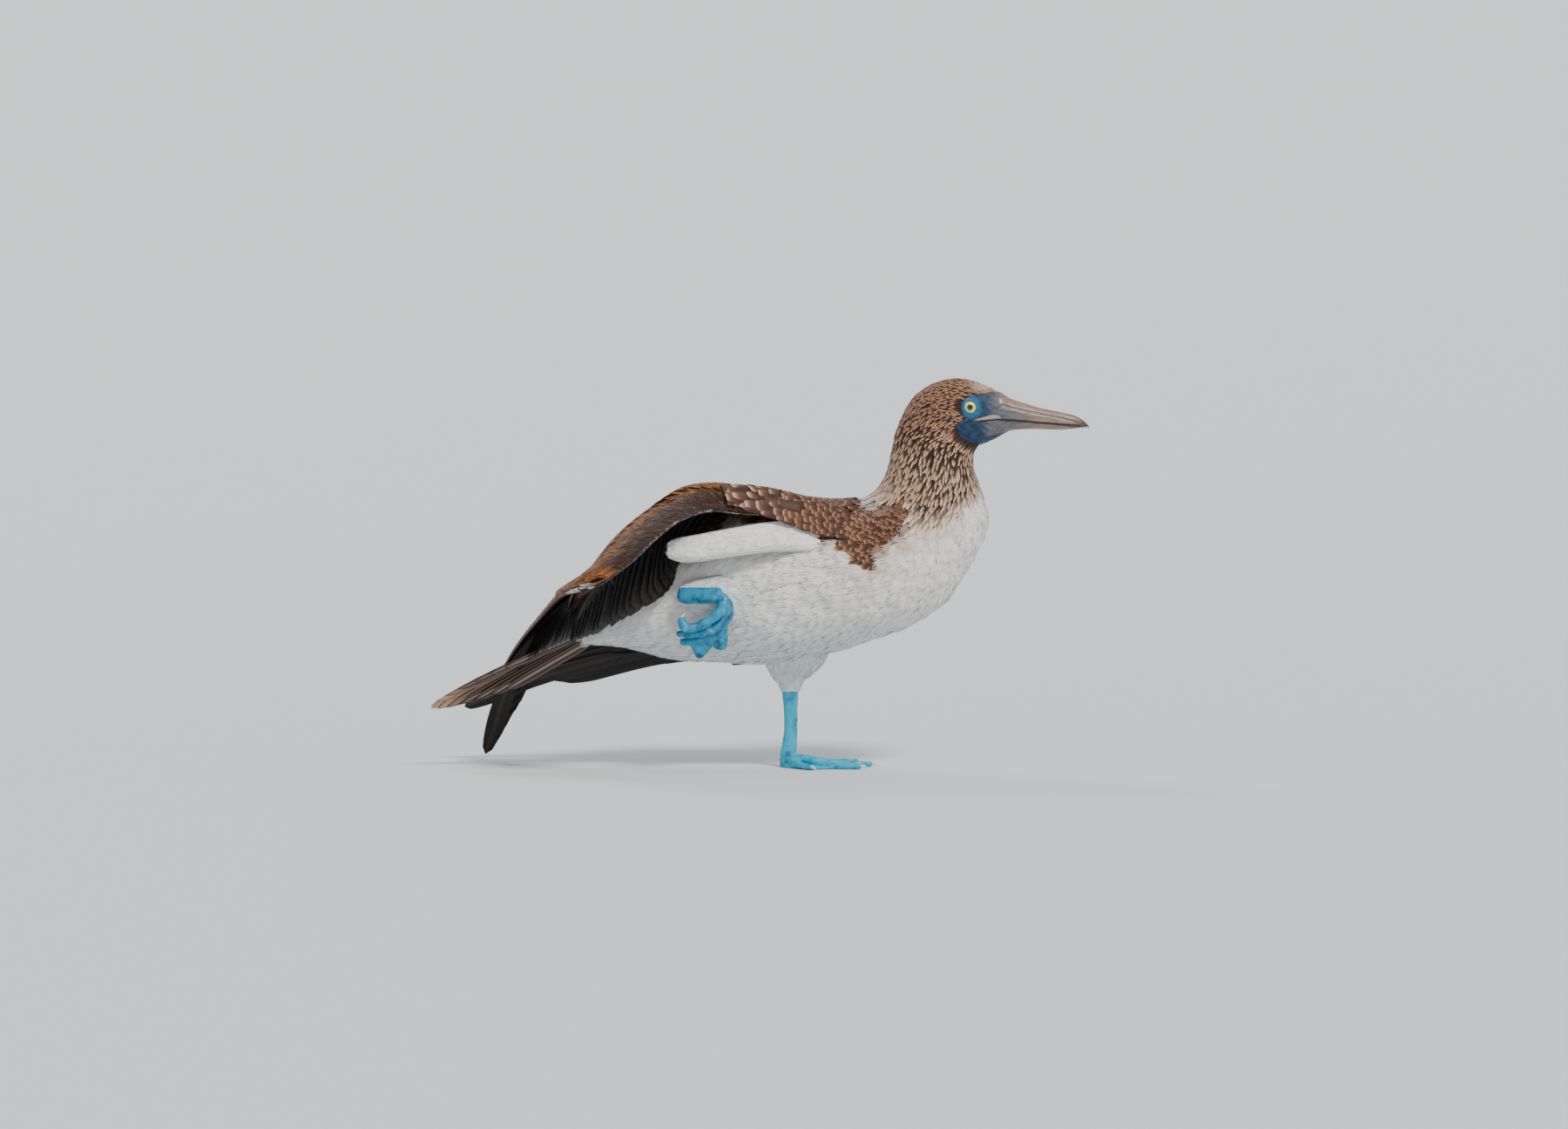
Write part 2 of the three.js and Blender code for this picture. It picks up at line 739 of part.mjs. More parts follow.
function leftArmForm() {
  const sheet = sheetOf(LEFT_ARM);
  const secondaries = tier(sheet, {
    count: 7,
    roots: [
      [0.6, 0.12],
      [0.6, 0.86],
    ],
    tips: [
      [1, 0.1],
      [1, 0.92],
    ],
    width: 32,
    rise: [1, 0.6, 0.4],
    tilt: 1.8,
  });
  const greater = tier(sheet, {
    count: 6,
    roots: [
      [0.42, 0.1],
      [0.42, 0.88],
    ],
    tips: [
      [0.8, 0.08],
      [0.8, 0.92],
    ],
    width: 38,
    rise: [4, 6, 3],
    tilt: 1.6,
  });
  const median = tier(sheet, {
    count: 5,
    roots: [
      [0.2, 0.1],
      [0.2, 0.88],
    ],
    tips: [
      [0.56, 0.08],
      [0.56, 0.92],
    ],
    width: 45,
    rise: [5, 9, 6.4],
    tilt: 1.4,
  });
  return united([flesh(LEFT_ARM, [0, 0.66], [0, 1], 8), ...secondaries, ...greater, ...median]);
}

function leftHandForm() {
  return united([
    flesh(LEFT_HAND, [0, 0.4], [0.08, 0.92], 4),
    ...tier(sheetOf(LEFT_HAND), {
      count: 8,
      roots: [
        [0.04, 0.84],
        [0.12, 0.2],
      ],
      tips: [
        [0.5, 0.94],
        [1, 0.5],
      ],
      width: [26, 17],
      rise: [5, 5, 5],
      tilt: 0.2,
      stack: -STACK,
    }),
  ]);
}

const AXILLARIES = [
  [[-14, -63, 242], [-14, -61, 270], 5, [0, -3, 0]],
  [[-52, -67, 230], [-52, -64, 262], 5, [0, -4, 0]],
  [[-90, -71, 224], [-90, -67, 256], 4, [0, -4, 0]],
  [[-130, -75, 224], [-130, -71, 250], 3, [0, -3, 0]],
];

// Long white feathers under the base of the right wing
function axillariesForm() {
  const fan = tier(sheetOf(AXILLARIES), {
    count: 6,
    roots: [
      [0.1, 0.2],
      [0.1, 0.8],
    ],
    tips: [
      [0.84, 0.14],
      [0.9, 0.86],
    ],
    width: 10,
    rise: [0, 1.2, 0.6],
    tilt: 1.4,
  });
  return united([flesh(AXILLARIES, [0, 0.5], [0, 1], 3), ...fan]);
}

// Materials: colours as the bird has them
function finish(color, roughness, metalness = 0) {
  return new THREE.MeshStandardMaterial({ color, roughness, metalness });
}
const MATERIALS = {
  plumageWhite: finish(0xf1eee8, 0.9),
  plumageStreaked: finish(0xb89676, 0.85),
  plumageBrown: finish(0x6b4a30, 0.85),
  flightFeather: finish(0x2a2019, 0.6),
  bill: finish(0x6f7276, 0.45),
  eye: finish(0xe6e39a, 0.1),
  footSkin: finish(0x1ea6d6, 0.5),
};

const bird = new THREE.Group();
bird.name = "blue_footed_booby";
const made = new Map();

function addNode(name, rough, material) {
  const solid = largest(rough.simplify(SHORTEST_EDGE));
  made.set(name, solid);
  const mesh = new THREE.Mesh(geometryOf(solid), material);
  mesh.name = name;
  bird.add(mesh);
}

// What is left of a form once its neighbours, grown by the seam, are cut away. Growing is inexact at a
// feather's thin edges, so a smaller growth and the neighbour's own shape are cut away too.
function clearOf(solid, ...names) {
  let rest = solid;
  for (const name of names) {
    const neighbour = made.get(name);
    rest = rest.subtract(grown(neighbour, SEAM));
    rest = rest.subtract(grown(neighbour, SEAM / 3));
    rest = rest.subtract(neighbour);
  }
  return largest(rest);
}

const form = bodyForm();
const { torso, neck, head } = bodyPieces(form);
addNode("torso", torso, MATERIALS.plumageWhite);
addNode("neck", neck, MATERIALS.plumageStreaked);
const face = headPieces(head);
addNode("head", face.head, MATERIALS.plumageStreaked);
addNode("bill_upper", face.bill_upper, MATERIALS.bill);
addNode("bill_lower", face.bill_lower, MATERIALS.bill);
addNode("eye_right", face.eye_right, MATERIALS.eye);
addNode("eye_left", face.eye_left, MATERIALS.eye);
addNode("thigh_left", clearOf(thighLeft(), "torso"), MATERIALS.plumageWhite);
addNode("shank_left", clearOf(shankLeft(), "torso", "thigh_left"), MATERIALS.footSkin);
addNode("foot_left", clearOf(footLeft(), "shank_left"), MATERIALS.footSkin);
addNode("thigh_right", clearOf(thighRight(), "torso"), MATERIALS.plumageWhite);
addNode("shank_right", clearOf(shankRight(), "torso", "thigh_right"), MATERIALS.footSkin);
addNode("foot_right", clearOf(footRight(), "torso", "thigh_right", "shank_right"), MATERIALS.footSkin);
addNode("tail", clearOf(tailForm(), "torso"), MATERIALS.flightFeather);
addNode("axillaries_right", clearOf(axillariesForm(), "torso", "thigh_right"), MATERIALS.plumageWhite);
addNode("wing_left_arm", clearOf(leftArmForm(), "torso", "thigh_left"), MATERIALS.plumageBrown);
addNode("wing_left_hand", clearOf(leftHandForm(), "torso", "tail", "wing_left_arm"), MATERIALS.flightFeather);
addNode(
  "wing_right_arm",
  clearOf(rightArmForm(), "torso", "axillaries_right", "wing_left_arm", "tail"),
  MATERIALS.plumageBrown,
);
addNode(
  "wing_right_hand",
  clearOf(rightHandForm(), "torso", "tail", "wing_right_arm", "wing_left_hand"),
  MATERIALS.flightFeather,
);

export default bird;
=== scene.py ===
"""Looks of the blue-footed booby: skin, feathers, bill, eyes and feet over the fixed solids.

Lengths in the tables are millimetres in the model's frame: x towards the bill, y to the bird's left, z up.
"""

import math

import bpy
import numpy as np
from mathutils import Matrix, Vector


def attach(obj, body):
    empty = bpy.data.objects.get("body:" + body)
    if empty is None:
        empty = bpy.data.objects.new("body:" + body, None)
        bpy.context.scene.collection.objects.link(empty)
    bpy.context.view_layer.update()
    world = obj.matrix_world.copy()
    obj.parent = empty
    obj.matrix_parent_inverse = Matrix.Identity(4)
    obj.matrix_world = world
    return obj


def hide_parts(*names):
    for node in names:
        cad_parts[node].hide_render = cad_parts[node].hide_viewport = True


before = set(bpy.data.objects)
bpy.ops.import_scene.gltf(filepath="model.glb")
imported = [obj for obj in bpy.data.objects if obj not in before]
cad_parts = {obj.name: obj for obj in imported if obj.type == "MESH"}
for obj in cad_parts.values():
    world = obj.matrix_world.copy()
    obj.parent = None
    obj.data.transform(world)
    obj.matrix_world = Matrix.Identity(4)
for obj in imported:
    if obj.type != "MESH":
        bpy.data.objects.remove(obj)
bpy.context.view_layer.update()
rng = np.random.default_rng(11)

MM = 0.001

# Camera: the photo's frame is 1800 pixels wide and 0.93 mm a pixel at the bird
PHOTO_WIDTH_MM = 1674.0
LOOK_AT = (-4.65, 0.0, 217.6)
CAMERA_DISTANCE = 8000.0
CAMERA_ELEVATION = math.radians(3.5)
SENSOR = 36.0


def srgb(red, green, blue):
    """A colour given as 0 to 255 values, in linear light."""
    value = np.array([red, green, blue], float) / 255
    return np.where(value <= 0.04045, value / 12.92, ((value + 0.055) / 1.055) ** 2.4)


WHITE = srgb(243, 240, 235)
# painted shade: white feathers in shadow, with a painted blue reflection
SHADE_WHITE = srgb(205, 217, 220)
BUFF = srgb(226, 203, 184)
CREAM = srgb(222, 178, 136)
CROWN_CREAM = srgb(192, 132, 86)
NECK_DARK = srgb(46, 22, 8)
CROWN_DARK = srgb(50, 24, 10)
MANTLE = srgb(112, 68, 42)
MANTLE_EDGE = srgb(206, 162, 128)
SCAPULAR_EDGE = srgb(238, 206, 184)
COVERT = srgb(74, 44, 24)
COVERT_GOLD = srgb(156, 96, 44)
FLIGHT = srgb(26, 20, 18)
# the underwing's own dark brown, made near black by painted shade
UNDERWING_DARK_IN_SHADE = srgb(20, 17, 16)
TAIL_PALE = srgb(224, 180, 150)
TAIL_DARK = srgb(52, 36, 28)
FACE_BLUE = srgb(16, 62, 96)
FACE_DEEP = srgb(10, 34, 58)
HORN_BASE = srgb(96, 98, 100)
HORN_MIDDLE = srgb(142, 124, 108)
# painted highlight on the upper bill above its groove
HORN_RIDGE_HIGHLIGHT = srgb(152, 122, 106)
HORN_TIP = srgb(66, 42, 28)
GAPE_PLATE = srgb(160, 150, 138)


def fade(value, low, high):
    """0 below low, 1 above high, smooth between."""
    x = np.clip((np.asarray(value, float) - low) / (high - low), 0, 1)
    return x * x * (3 - 2 * x)


def blend(first, second, share):
    """Mixes colours or numbers by share, which may be an array."""
    share = np.asarray(share, float)[..., None]
    return np.asarray(first) * (1 - share) + np.asarray(second) * share


def spline(points, t):
    """Points on a smooth curve through points, for t from 0 to 1."""
    p = np.asarray(points, float)
    last = len(p) - 1
    x = np.clip(np.asarray(t, float), 0, 1) * last
    i = np.minimum(x.astype(int), last - 1)
    f = (x - i)[..., None]
    a = p[np.maximum(i - 1, 0)]
    b = p[i]
    c = p[i + 1]
    d = p[np.minimum(i + 2, last)]
    return b + 0.5 * f * ((c - a) + f * (2 * a - 5 * b + 4 * c - d + f * (3 * (b - c) + d - a)))


def unit(vectors):
    """Vectors brought to length 1."""
    return vectors / np.maximum(np.linalg.norm(vectors, axis=-1, keepdims=True), 1e-9)


# Objects from arrays


def make_piece(name, points, faces, material, tone=None, vane=None, bake=None):
    """A mesh piece in the frame, with a tone, a place on its feather and a map place for each point."""
    mesh = bpy.data.meshes.new(name)
    count, sides = faces.shape
    mesh.vertices.add(len(points))
    mesh.vertices.foreach_set("co", (points * MM).astype(np.float32).ravel())
    mesh.loops.add(count * sides)
    mesh.loops.foreach_set("vertex_index", faces.astype(np.int32).ravel())
    mesh.polygons.add(count)
    mesh.polygons.foreach_set("loop_start", np.arange(0, count * sides, sides, dtype=np.int32))
    mesh.polygons.foreach_set("use_smooth", np.ones(count, bool))
    mesh.update(calc_edges=True)
    if tone is not None:
        layer = mesh.color_attributes.new("tone", "FLOAT_COLOR", "POINT")
        colours = np.concatenate([np.clip(tone, 0, 1), np.ones((len(tone), 1))], axis=1)
        layer.data.foreach_set("color", colours.astype(np.float32).ravel())
    if vane is not None:
        layer = mesh.attributes.new("vane", "FLOAT_VECTOR", "POINT")
        layer.data.foreach_set("vector", vane.astype(np.float32).ravel())
    if bake is not None:
        layer = mesh.uv_layers.new(name="OFBake")
        layer.data.foreach_set("uv", bake[faces.ravel()].astype(np.float32).ravel())
    mesh.materials.append(material)
    piece = bpy.data.objects.new(name, mesh)
    bpy.context.scene.collection.objects.link(piece)
    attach(piece, "root")
    return piece


def grid_faces(rows, columns, wrap=False):
    """Four-sided faces of a grid of points, joined round its columns if wrap."""
    across = columns if wrap else columns - 1
    i, j = np.meshgrid(np.arange(rows - 1), np.arange(across), indexing="ij")
    k = (j + 1) % columns
    this, after = i * columns, (i + 1) * columns
    return np.stack([this + j, this + k, after + k, after + j], -1).reshape(-1, 4)


def closed_tube(rings):
    """Points and faces of a tube over rings (rows, sides, 3), its ends drawn in to a point."""
    sides = rings.shape[1]
    ends = [np.repeat(ring.mean(0, keepdims=True)[None], sides, 1) for ring in (rings[0], rings[-1])]
    rings = np.concatenate([ends[0], rings, ends[1]], 0)
    faces = grid_faces(len(rings), sides, wrap=True)
    return rings.reshape(-1, 3), faces[:, ::-1]


def tube(path, radii, side=(0, 1, 0), steps=40, sides=28):
    """Rings of a round or oval limb along a path. radii are [width, height] pairs spread along it."""
    t = np.linspace(0, 1, steps + 1)
    centre = spline(path, t)
    along = unit(spline(path, np.minimum(t + 0.01, 1)) - spline(path, np.maximum(t - 0.01, 0)))
    up = unit(np.cross(along, np.array(side, float)))
    across = unit(np.cross(up, along))
    size = spline(radii, t)
    turn = np.linspace(0, 2 * math.pi, sides, endpoint=False)
    wide = across[:, None] * np.cos(turn)[None, :, None] * size[:, None, :1]
    high = up[:, None] * np.sin(turn)[None, :, None] * size[:, None, 1:2]
    return centre[:, None] + wide + high


# Surfaces that feathers are laid on


class Surface:
    """A grid of points over s and t from 0 to 1, sampled smoothly. t joins round if wrap.

    Its normals look the way of outwards, which is one direction or one for each point.
    """

    def __init__(self, points, outwards, wrap=False):
        self.points = points
        self.wrap = wrap
        down = np.gradient(points, axis=0)
        if wrap:
            padded = np.concatenate([points[:, -1:], points, points[:, :1]], 1)
            across = (padded[:, 2:] - padded[:, :-2]) / 2
        else:
            across = np.gradient(points, axis=1)
        self.down = down * (len(points) - 1)
        self.across = across * (points.shape[1] if wrap else points.shape[1] - 1)
        self.normal = unit(np.cross(down, across))
        if (outwards * self.normal).sum() < 0:
            self.normal = -self.normal

    def pick(self, field, s, t):
        """Values of a field over the grid at places s and t."""
        rows, columns = field.shape[:2]
        x = np.clip(s, 0, 1) * (rows - 1)
        y = (t % 1) * columns if self.wrap else np.clip(t, 0, 1) * (columns - 1)
        i = np.minimum(x.astype(int), rows - 2)
        j = y.astype(int) if self.wrap else np.minimum(y.astype(int), columns - 2)
        fx = (x - i)[..., None]
        fy = (y - j)[..., None]
        j = j % columns
        k = (j + 1) % columns
        near = field[i, j] * (1 - fy) + field[i, k] * fy
        far = field[i + 1, j] * (1 - fy) + field[i + 1, k] * fy
        return near * (1 - fx) + far * fx


def round_surface(rings):
    """The surface of a closed limb over its rings."""
    return Surface(rings, rings - rings.mean(1, keepdims=True), wrap=True)


def lay(surface, s, t, angle, x, y, height):
    """Points of feathers laid along a surface, x and y (feathers, points) millimetres from each root.

    angle turns the way they lie from straight back towards t.
    """
    down = surface.pick(surface.down, s, t)
    across = surface.pick(surface.across, s, t)
    normal = unit(surface.pick(surface.normal, s, t))
    back = unit(-down)
    lie = back * np.cos(angle)[:, None] + unit(np.cross(normal, back)) * np.sin(angle)[:, None]
    side = unit(np.cross(lie, normal))
    move = lie[:, None] * y[..., None] + side[:, None] * x[..., None]
    dd = (down * down).sum(-1)[:, None]
    aa = (across * across).sum(-1)[:, None]
    da = (down * across).sum(-1)[:, None]
    md = (move * down[:, None]).sum(-1)
    ma = (move * across[:, None]).sum(-1)
    det = np.maximum(dd * aa - da * da, 1e-6)
    ds = np.clip((md * aa - ma * da) / det, -0.3, 0.3)
    dt = np.clip((ma * dd - md * da) / det, -0.2, 0.2)
    place = surface.pick(surface.points, s[:, None] + ds, t[:, None] + dt)
    normal = unit(surface.pick(surface.normal, s[:, None] + ds, t[:, None] + dt))
    return place + normal * height[..., None]


def blade(rows, columns, outline):
    """A feather's pattern: x from -1 to 1, y from 0 to 1 and its faces.

    outline gives its half width at y.
    """
    y = np.linspace(0, 1, rows) ** 0.9
    x = np.tile(np.linspace(-1, 1, columns), rows) * np.repeat(outline(y), columns)
    return x, np.repeat(y, columns), grid_faces(rows, columns)


def plume(blades, spread):
    """A soft feather's pattern: narrow barbs that fan out of one root, each three faces long."""
    xs, ys, faces = [], [], []
    for k in range(blades):
        lean = (2 * k / (blades - 1) - 1) * spread
        reach = 1 - 0.28 * abs(lean) / spread
        rows = np.array([0.0, 0.4, 0.75, 1.0])
        half = np.array([0.16, 0.2, 0.14, 0.02])
        middle = lean * rows**1.3
        for row, width, centre in zip(rows, half, middle):
            xs += [centre - width, centre + width]
            ys += [row * reach] * 2
        faces.append(grid_faces(4, 2) + 8 * k)
    return np.array(xs), np.array(ys), np.concatenate(faces)


def round_end(y):
    """Half width of a short feather with a round tip."""
    return np.sqrt(np.clip(1 - ((y - 0.55) / 0.48) ** 2, 0.03, 1)) * (0.45 + 0.55 * fade(y, 0, 0.5))


ROUND = blade(9, 7, round_end)
LANCE = blade(5, 5, lambda y: 0.35 + 0.65 * fade(y, 0, 0.45) - 0.85 * fade(y, 0.5, 1.05))
SOFT = plume(5, 0.85)
COAT_FACES_LIMIT = 90000
LIE_WOBBLE = 0.09  # radians
SIZE_SPREAD = (0.88, 1.14)
LIFT_SPREAD = (0.6, 1.3)
TONE_SPREAD = (0.9, 1.08)
FEATHER_ROUNDING = 0.22  # how far a feather's edges bend down
PATCH_ON_MAP = (0.0015, 0.003)  # half width and length of a feather's patch on the map


def coat(name, surface, roots, pattern, size, colours, look, lift, lay_base, angle):
    """Small feathers over a surface, as one piece or more.

    roots are s and t, size the length and width, and look a material and a slot; the slot is not used.
    lift is how far the tips stand off, lay_base the height of the roots and angle the way they lie.
    colours(x, y, feathers) gives each point's colour.
    """
    s, t = roots
    total = len(s)
    settings = (*size, lift, lay_base, angle)
    length, width, lift, lay_base, angle = (np.broadcast_to(value, total) for value in settings)
    px, py, faces = pattern
    material, slot = look
    per_piece = COAT_FACES_LIMIT // len(faces)
    for start in range(0, total, per_piece):
        pick = np.arange(start, min(start + per_piece, total))
        n = len(pick)
        turn = angle[pick] + rng.normal(0, LIE_WOBBLE, n)
        grown = rng.uniform(*SIZE_SPREAD, n)
        y = py[None] * (length[pick] * grown)[:, None]
        x = px[None] * (width[pick] * grown / 2)[:, None]
        curl = (rng.uniform(*LIFT_SPREAD, n) * lift[pick])[:, None]
        height = lay_base[pick][:, None] + length[pick][:, None] * curl * (py[None] - 0.45 * py[None] ** 2)
        height = height - FEATHER_ROUNDING * np.abs(x) * np.abs(px[None])
        points = lay(surface, s[pick], t[pick], turn, x, y, height)
        tone = np.broadcast_to(colours(px[None], py[None], pick), points.shape)
        tone = tone * rng.uniform(*TONE_SPREAD, (n, 1, 1))
        map_s = s[pick][:, None] + (px * PATCH_ON_MAP[0])[None]
        map_t = (t[pick] % 1)[:, None] + (py * PATCH_ON_MAP[1])[None]
        every = (faces[None] + (np.arange(n) * len(px))[:, None, None]).reshape(-1, 4)
        vane = np.stack([x, y, np.repeat(rng.random((n, 1)), len(px), 1)], -1)
        title = name if total <= per_piece else f"{name}_{start // per_piece + 1}"
        fields = (tone.reshape(-1, 3), vane.reshape(-1, 3), np.stack([map_s, map_t], -1).reshape(-1, 2))
        piece = make_piece(title, points.reshape(-1, 3), every, material, *fields)


# Materials


class Material:
    """A material and its nodes. sockets holds values for its shader's sockets by name."""

    def __init__(self, name, roughness, specular=0.5, sockets=()):
        self.material = bpy.data.materials.new(name)
        self.material.use_nodes = True
        self.tree = self.material.node_tree
        self.shader = self.tree.nodes["Principled BSDF"].inputs
        values = {"Roughness": roughness, "Specular IOR Level": specular, "Sheen Weight": 0.0}
        for socket, value in {**values, **dict(sockets)}.items():
            self.shader[socket].default_value = value
        self.place = self.add("ShaderNodeNewGeometry").outputs["Position"]

    def add(self, kind, **settings):
        """A node with values for its sockets or its own settings."""
        made = self.tree.nodes.new(kind)
        for key, value in settings.items():
            if key in made.inputs:
                made.inputs[key].default_value = value
            else:
                setattr(made, key, value)
        return made

    def link(self, source, socket):
        self.tree.links.new(source, socket)

    def maths(self, operation, first, second=None):
        made = self.add("ShaderNodeMath", operation=operation)
        for socket, value in zip(made.inputs, (first, second)):
            if isinstance(value, (int, float)):
                socket.default_value = value
            elif value is not None:
                self.link(value, socket)
        return made.outputs[0]

    def linear(self, source, factor, plus):
        return self.maths("ADD", self.maths("MULTIPLY", source, factor), plus)

    def texture(self, kind, place=None, **settings):
        """The outputs of a texture over the model's own space."""
        made = self.add(f"ShaderNodeTex{kind}", **settings)
        self.link(place or self.place, made.inputs["Vector"])
        return made.outputs

    def attribute(self, name, output):
        return self.add("ShaderNodeAttribute", attribute_name=name).outputs[output]

    def split(self, vector):
        parts = self.add("ShaderNodeSeparateXYZ")
        self.link(vector, parts.inputs[0])
        return parts.outputs

    def ramp(self, source, stops):
        """A colour for source, between stops of a place and a colour."""
        made = self.add("ShaderNodeValToRGB")
        elements = made.color_ramp.elements
        while len(elements) < len(stops):
            elements.new(0.5)
        for element, (place, colour) in zip(elements, stops):
            element.position = place
            element.color = (*colour, 1)
        self.link(source, made.inputs[0])
        return made.outputs[0]

    def tint(self, strength):
        """The piece's own tones times strength, as its colour."""
        scale = self.add("ShaderNodeVectorMath", operation="SCALE")
        self.link(self.attribute("tone", "Color"), scale.inputs[0])
        self.link(strength, scale.inputs["Scale"])
        self.link(scale.outputs[0], self.shader["Base Color"])

    def relief(self, height, strength, distance):
        bump = self.add("ShaderNodeBump", Strength=strength, Distance=distance)
        self.link(height, bump.inputs["Height"])
        self.link(bump.outputs[0], self.shader["Normal"])


BARB_SLANT = 1.1
SHAFT_HALF_WIDTH = 0.35


def feather_material(name, roughness, barbs_per_mm, bump, sheen, contrast):
    """Colour from the feather's own tones, with slanting barbs on both sides of a shaft."""
    made = Material(name, roughness, 0.35, {"Sheen Weight": sheen})
    across, along = made.split(made.attribute("vane", "Vector"))[:2]
    out = made.maths("ABSOLUTE", across)
    slant = made.maths("SUBTRACT", along, made.maths("MULTIPLY", out, BARB_SLANT))
    noise = made.texture("Noise", Scale=420.0, Detail=3.0)[0]
    uneven = made.maths("ADD", slant, made.maths("MULTIPLY", noise, 1.6))
    wave = made.maths("SINE", made.maths("MULTIPLY", uneven, barbs_per_mm * math.tau))
    made.relief(made.linear(wave, 0.5, made.maths("LESS_THAN", out, SHAFT_HALF_WIDTH)), bump, 0.0004)
    mottle = made.linear(noise, contrast * 2, 1 - contrast)
    made.tint(made.maths("MULTIPLY", made.linear(wave, contrast / 2, 1.0), mottle))
    return made.material


def skin_material(name):
    """Bare skin in its own tones, finely wrinkled."""
    made = Material(name, 0.55, 0.4)
    cells = made.texture("Voronoi", Scale=900.0)["Distance"]
    noise = made.texture("Noise", Scale=260.0, Detail=5.0)[0]
    made.tint(made.linear(noise, 0.9, 0.55))
    made.relief(made.maths("ADD", cells, noise), 0.5, 0.0005)
    return made.material


def bill_material(name):
    """Horn coloured by its own tones, with fine growth lines along it."""
    made = Material(name, 0.36, sockets={"Coat Weight": 0.12})
    stretch = made.add("ShaderNodeMapping", Scale=(0.1, 1, 1), Rotation=(0, -0.12, 0))
    made.link(made.place, stretch.inputs["Vector"])
    streak = made.texture("Noise", stretch.outputs[0], Scale=520.0, Detail=6.0, Roughness=0.65)[0]
    made.tint(made.linear(streak, 2.4, -0.25))
    made.relief(streak, 0.5, 0.0006)
    return made.material


def foot_material(name, light, deep, scale_size):
    """Blue scaled skin with paler streaks and specks."""
    under_skin = {"Subsurface Weight": 0.08, "Subsurface Radius": (0.001, 0.003, 0.005)}
    made = Material(name, 0.42, sockets={"Coat Weight": 0.1, **under_skin})
    cells = made.texture("Voronoi", Scale=scale_size, feature="DISTANCE_TO_EDGE")["Distance"]
    noise = made.texture("Noise", Scale=90.0, Detail=6.0, Roughness=0.6)[0]
    specks = made.texture("Noise", Scale=520.0, Detail=3.0)[0]
    pale = tuple(0.45 * np.array(light) + 0.55 * srgb(206, 240, 252))
    base = made.ramp(noise, [(0.34, tuple(deep)), (0.5, tuple(light)), (0.6, tuple(light)), (0.74, pale)])
    dots = made.ramp(specks, [(0.62, (0, 0, 0)), (0.74, (1, 1, 1))])
    mixer = made.add("ShaderNodeMix", data_type="RGBA")
    made.link(made.maths("MULTIPLY", dots, 0.45), mixer.inputs["Factor"])
    made.link(base, mixer.inputs["A"])
    mixer.inputs["B"].default_value = (*pale, 1)
    made.link(mixer.outputs["Result"], made.shader["Base Color"])
    edges = made.maths("MINIMUM", made.maths("MULTIPLY", cells, 6.0), 0.5)
    made.relief(made.maths("ADD", edges, made.maths("MULTIPLY", noise, 0.6)), 0.6, 0.0006)
    return made.material


IRIS_RINGS = [
    # share of the eye's radius and colour, from the pupil out to the dark rim
    (0.0, (0.002, 0.002, 0.002)),
    (0.31, (0.002, 0.002, 0.002)),
    (0.35, srgb(110, 104, 36)),
    (0.42, srgb(214, 214, 104)),
    (0.64, srgb(236, 238, 150)),
    (0.74, srgb(176, 176, 80)),
    (0.79, (0.006, 0.008, 0.01)),
]


def eye_material(side):
    """Pale yellow iris round a small dark pupil, by the distance from the eye's own axis."""
    made = Material(f"eye_{side}", 0.08, sockets={"Coat Weight": 1.0, "Coat Roughness": 0.02})
    parts = made.split(made.place)
    offsets = [made.maths("SUBTRACT", parts[k], EYE[k] * MM) for k in (0, 2)]
    squares = made.maths("ADD", *(made.maths("MULTIPLY", offset, offset) for offset in offsets))
    away = made.maths("DIVIDE", made.maths("SQRT", squares), EYE_RADIUS * MM)
    noise = made.texture("Noise", Scale=900.0, Detail=4.0)[0]
    uneven = made.maths("MULTIPLY", made.maths("SUBTRACT", noise, 0.5), 0.06)
    made.link(made.ramp(made.maths("ADD", away, uneven), IRIS_RINGS), made.shader["Base Color"])
    return made.material


def claw_material(name, colour):
    """Pale horn with a slow mottle."""
    made = Material(name, 0.4)
    noise = made.texture("Noise", Scale=300.0, Detail=4.0)[0]
    tones = [(0.3, tuple(colour * 0.85)), (0.7, tuple(np.minimum(colour * 1.1, 1)))]
    made.link(made.ramp(noise, tones), made.shader["Base Color"])
    return made.material


# Body skin

BODY_LINES = [
    # back x, back z, belly x, belly z, half width
    (-223, 151, -219, 131, 13),
    (-193, 171, -193, 130, 23),
    (-161, 199, -161, 126, 36),
    (-124, 231, -133, 118, 47),
    (-86, 261, -100, 114, 55),
    (-45, 284, -59, 112, 61),
    (-3, 289, -12, 111, 64),
    (34, 284, 34, 120, 65),
    (60, 284, 86, 135, 64),
    (78, 288, 132, 153, 61),
    (92, 296, 171, 180, 55),
    (101, 308, 201, 228, 47),
    (106, 321, 214, 265, 41),
    (109, 335, 209, 290, 37),
    (112, 348, 201, 311, 34),
    (115, 361, 197, 325, 32),
    (121, 374, 198, 336, 30),
    (129, 390, 204, 344, 28),
    (140, 402, 206, 346, 27),
    (155, 411, 208, 347, 26),
    (174, 416, 211, 348, 25),
    (192, 415, 215, 350, 22),
    (208, 410, 220, 352, 18),
    (224, 402, 227, 356, 14.5),
]
FACE_OUTLINE = [
    # x, z round the bare blue face
    (232, 403), (218.6, 400.8), (197, 399), (188, 395.3), (185, 390.6), (185, 383), (187, 376.7),
    (190.7, 373.9), (181.4, 371), (178.6, 366.4), (180.4, 361.8), (184, 355.3), (190.7, 350.6),
    (197, 346.9), (206.5, 344), (232, 350),
]
MANTLE_EDGE_LINE = [
    # x, z of the lower edge of the brown mantle
    (-223, 143), (-193, 160), (-161, 188), (-124, 219), (-86, 248), (-50, 273), (-23, 266), (-7, 256),
    (14, 251), (51, 248), (60, 242), (70, 232), (88, 220), (98, 225), (112, 243), (130, 259),
    (153, 276),
]
NECK_EDGE_LINE = [
    # x, z of the lower edge of the neck's streaks
    (60, 306), (88, 290), (110, 264), (140, 262), (165, 268), (185, 280), (200, 298), (215, 318),
]
EYE = (193.0, 19.0, 386.4)
EYE_RADIUS = 8.4


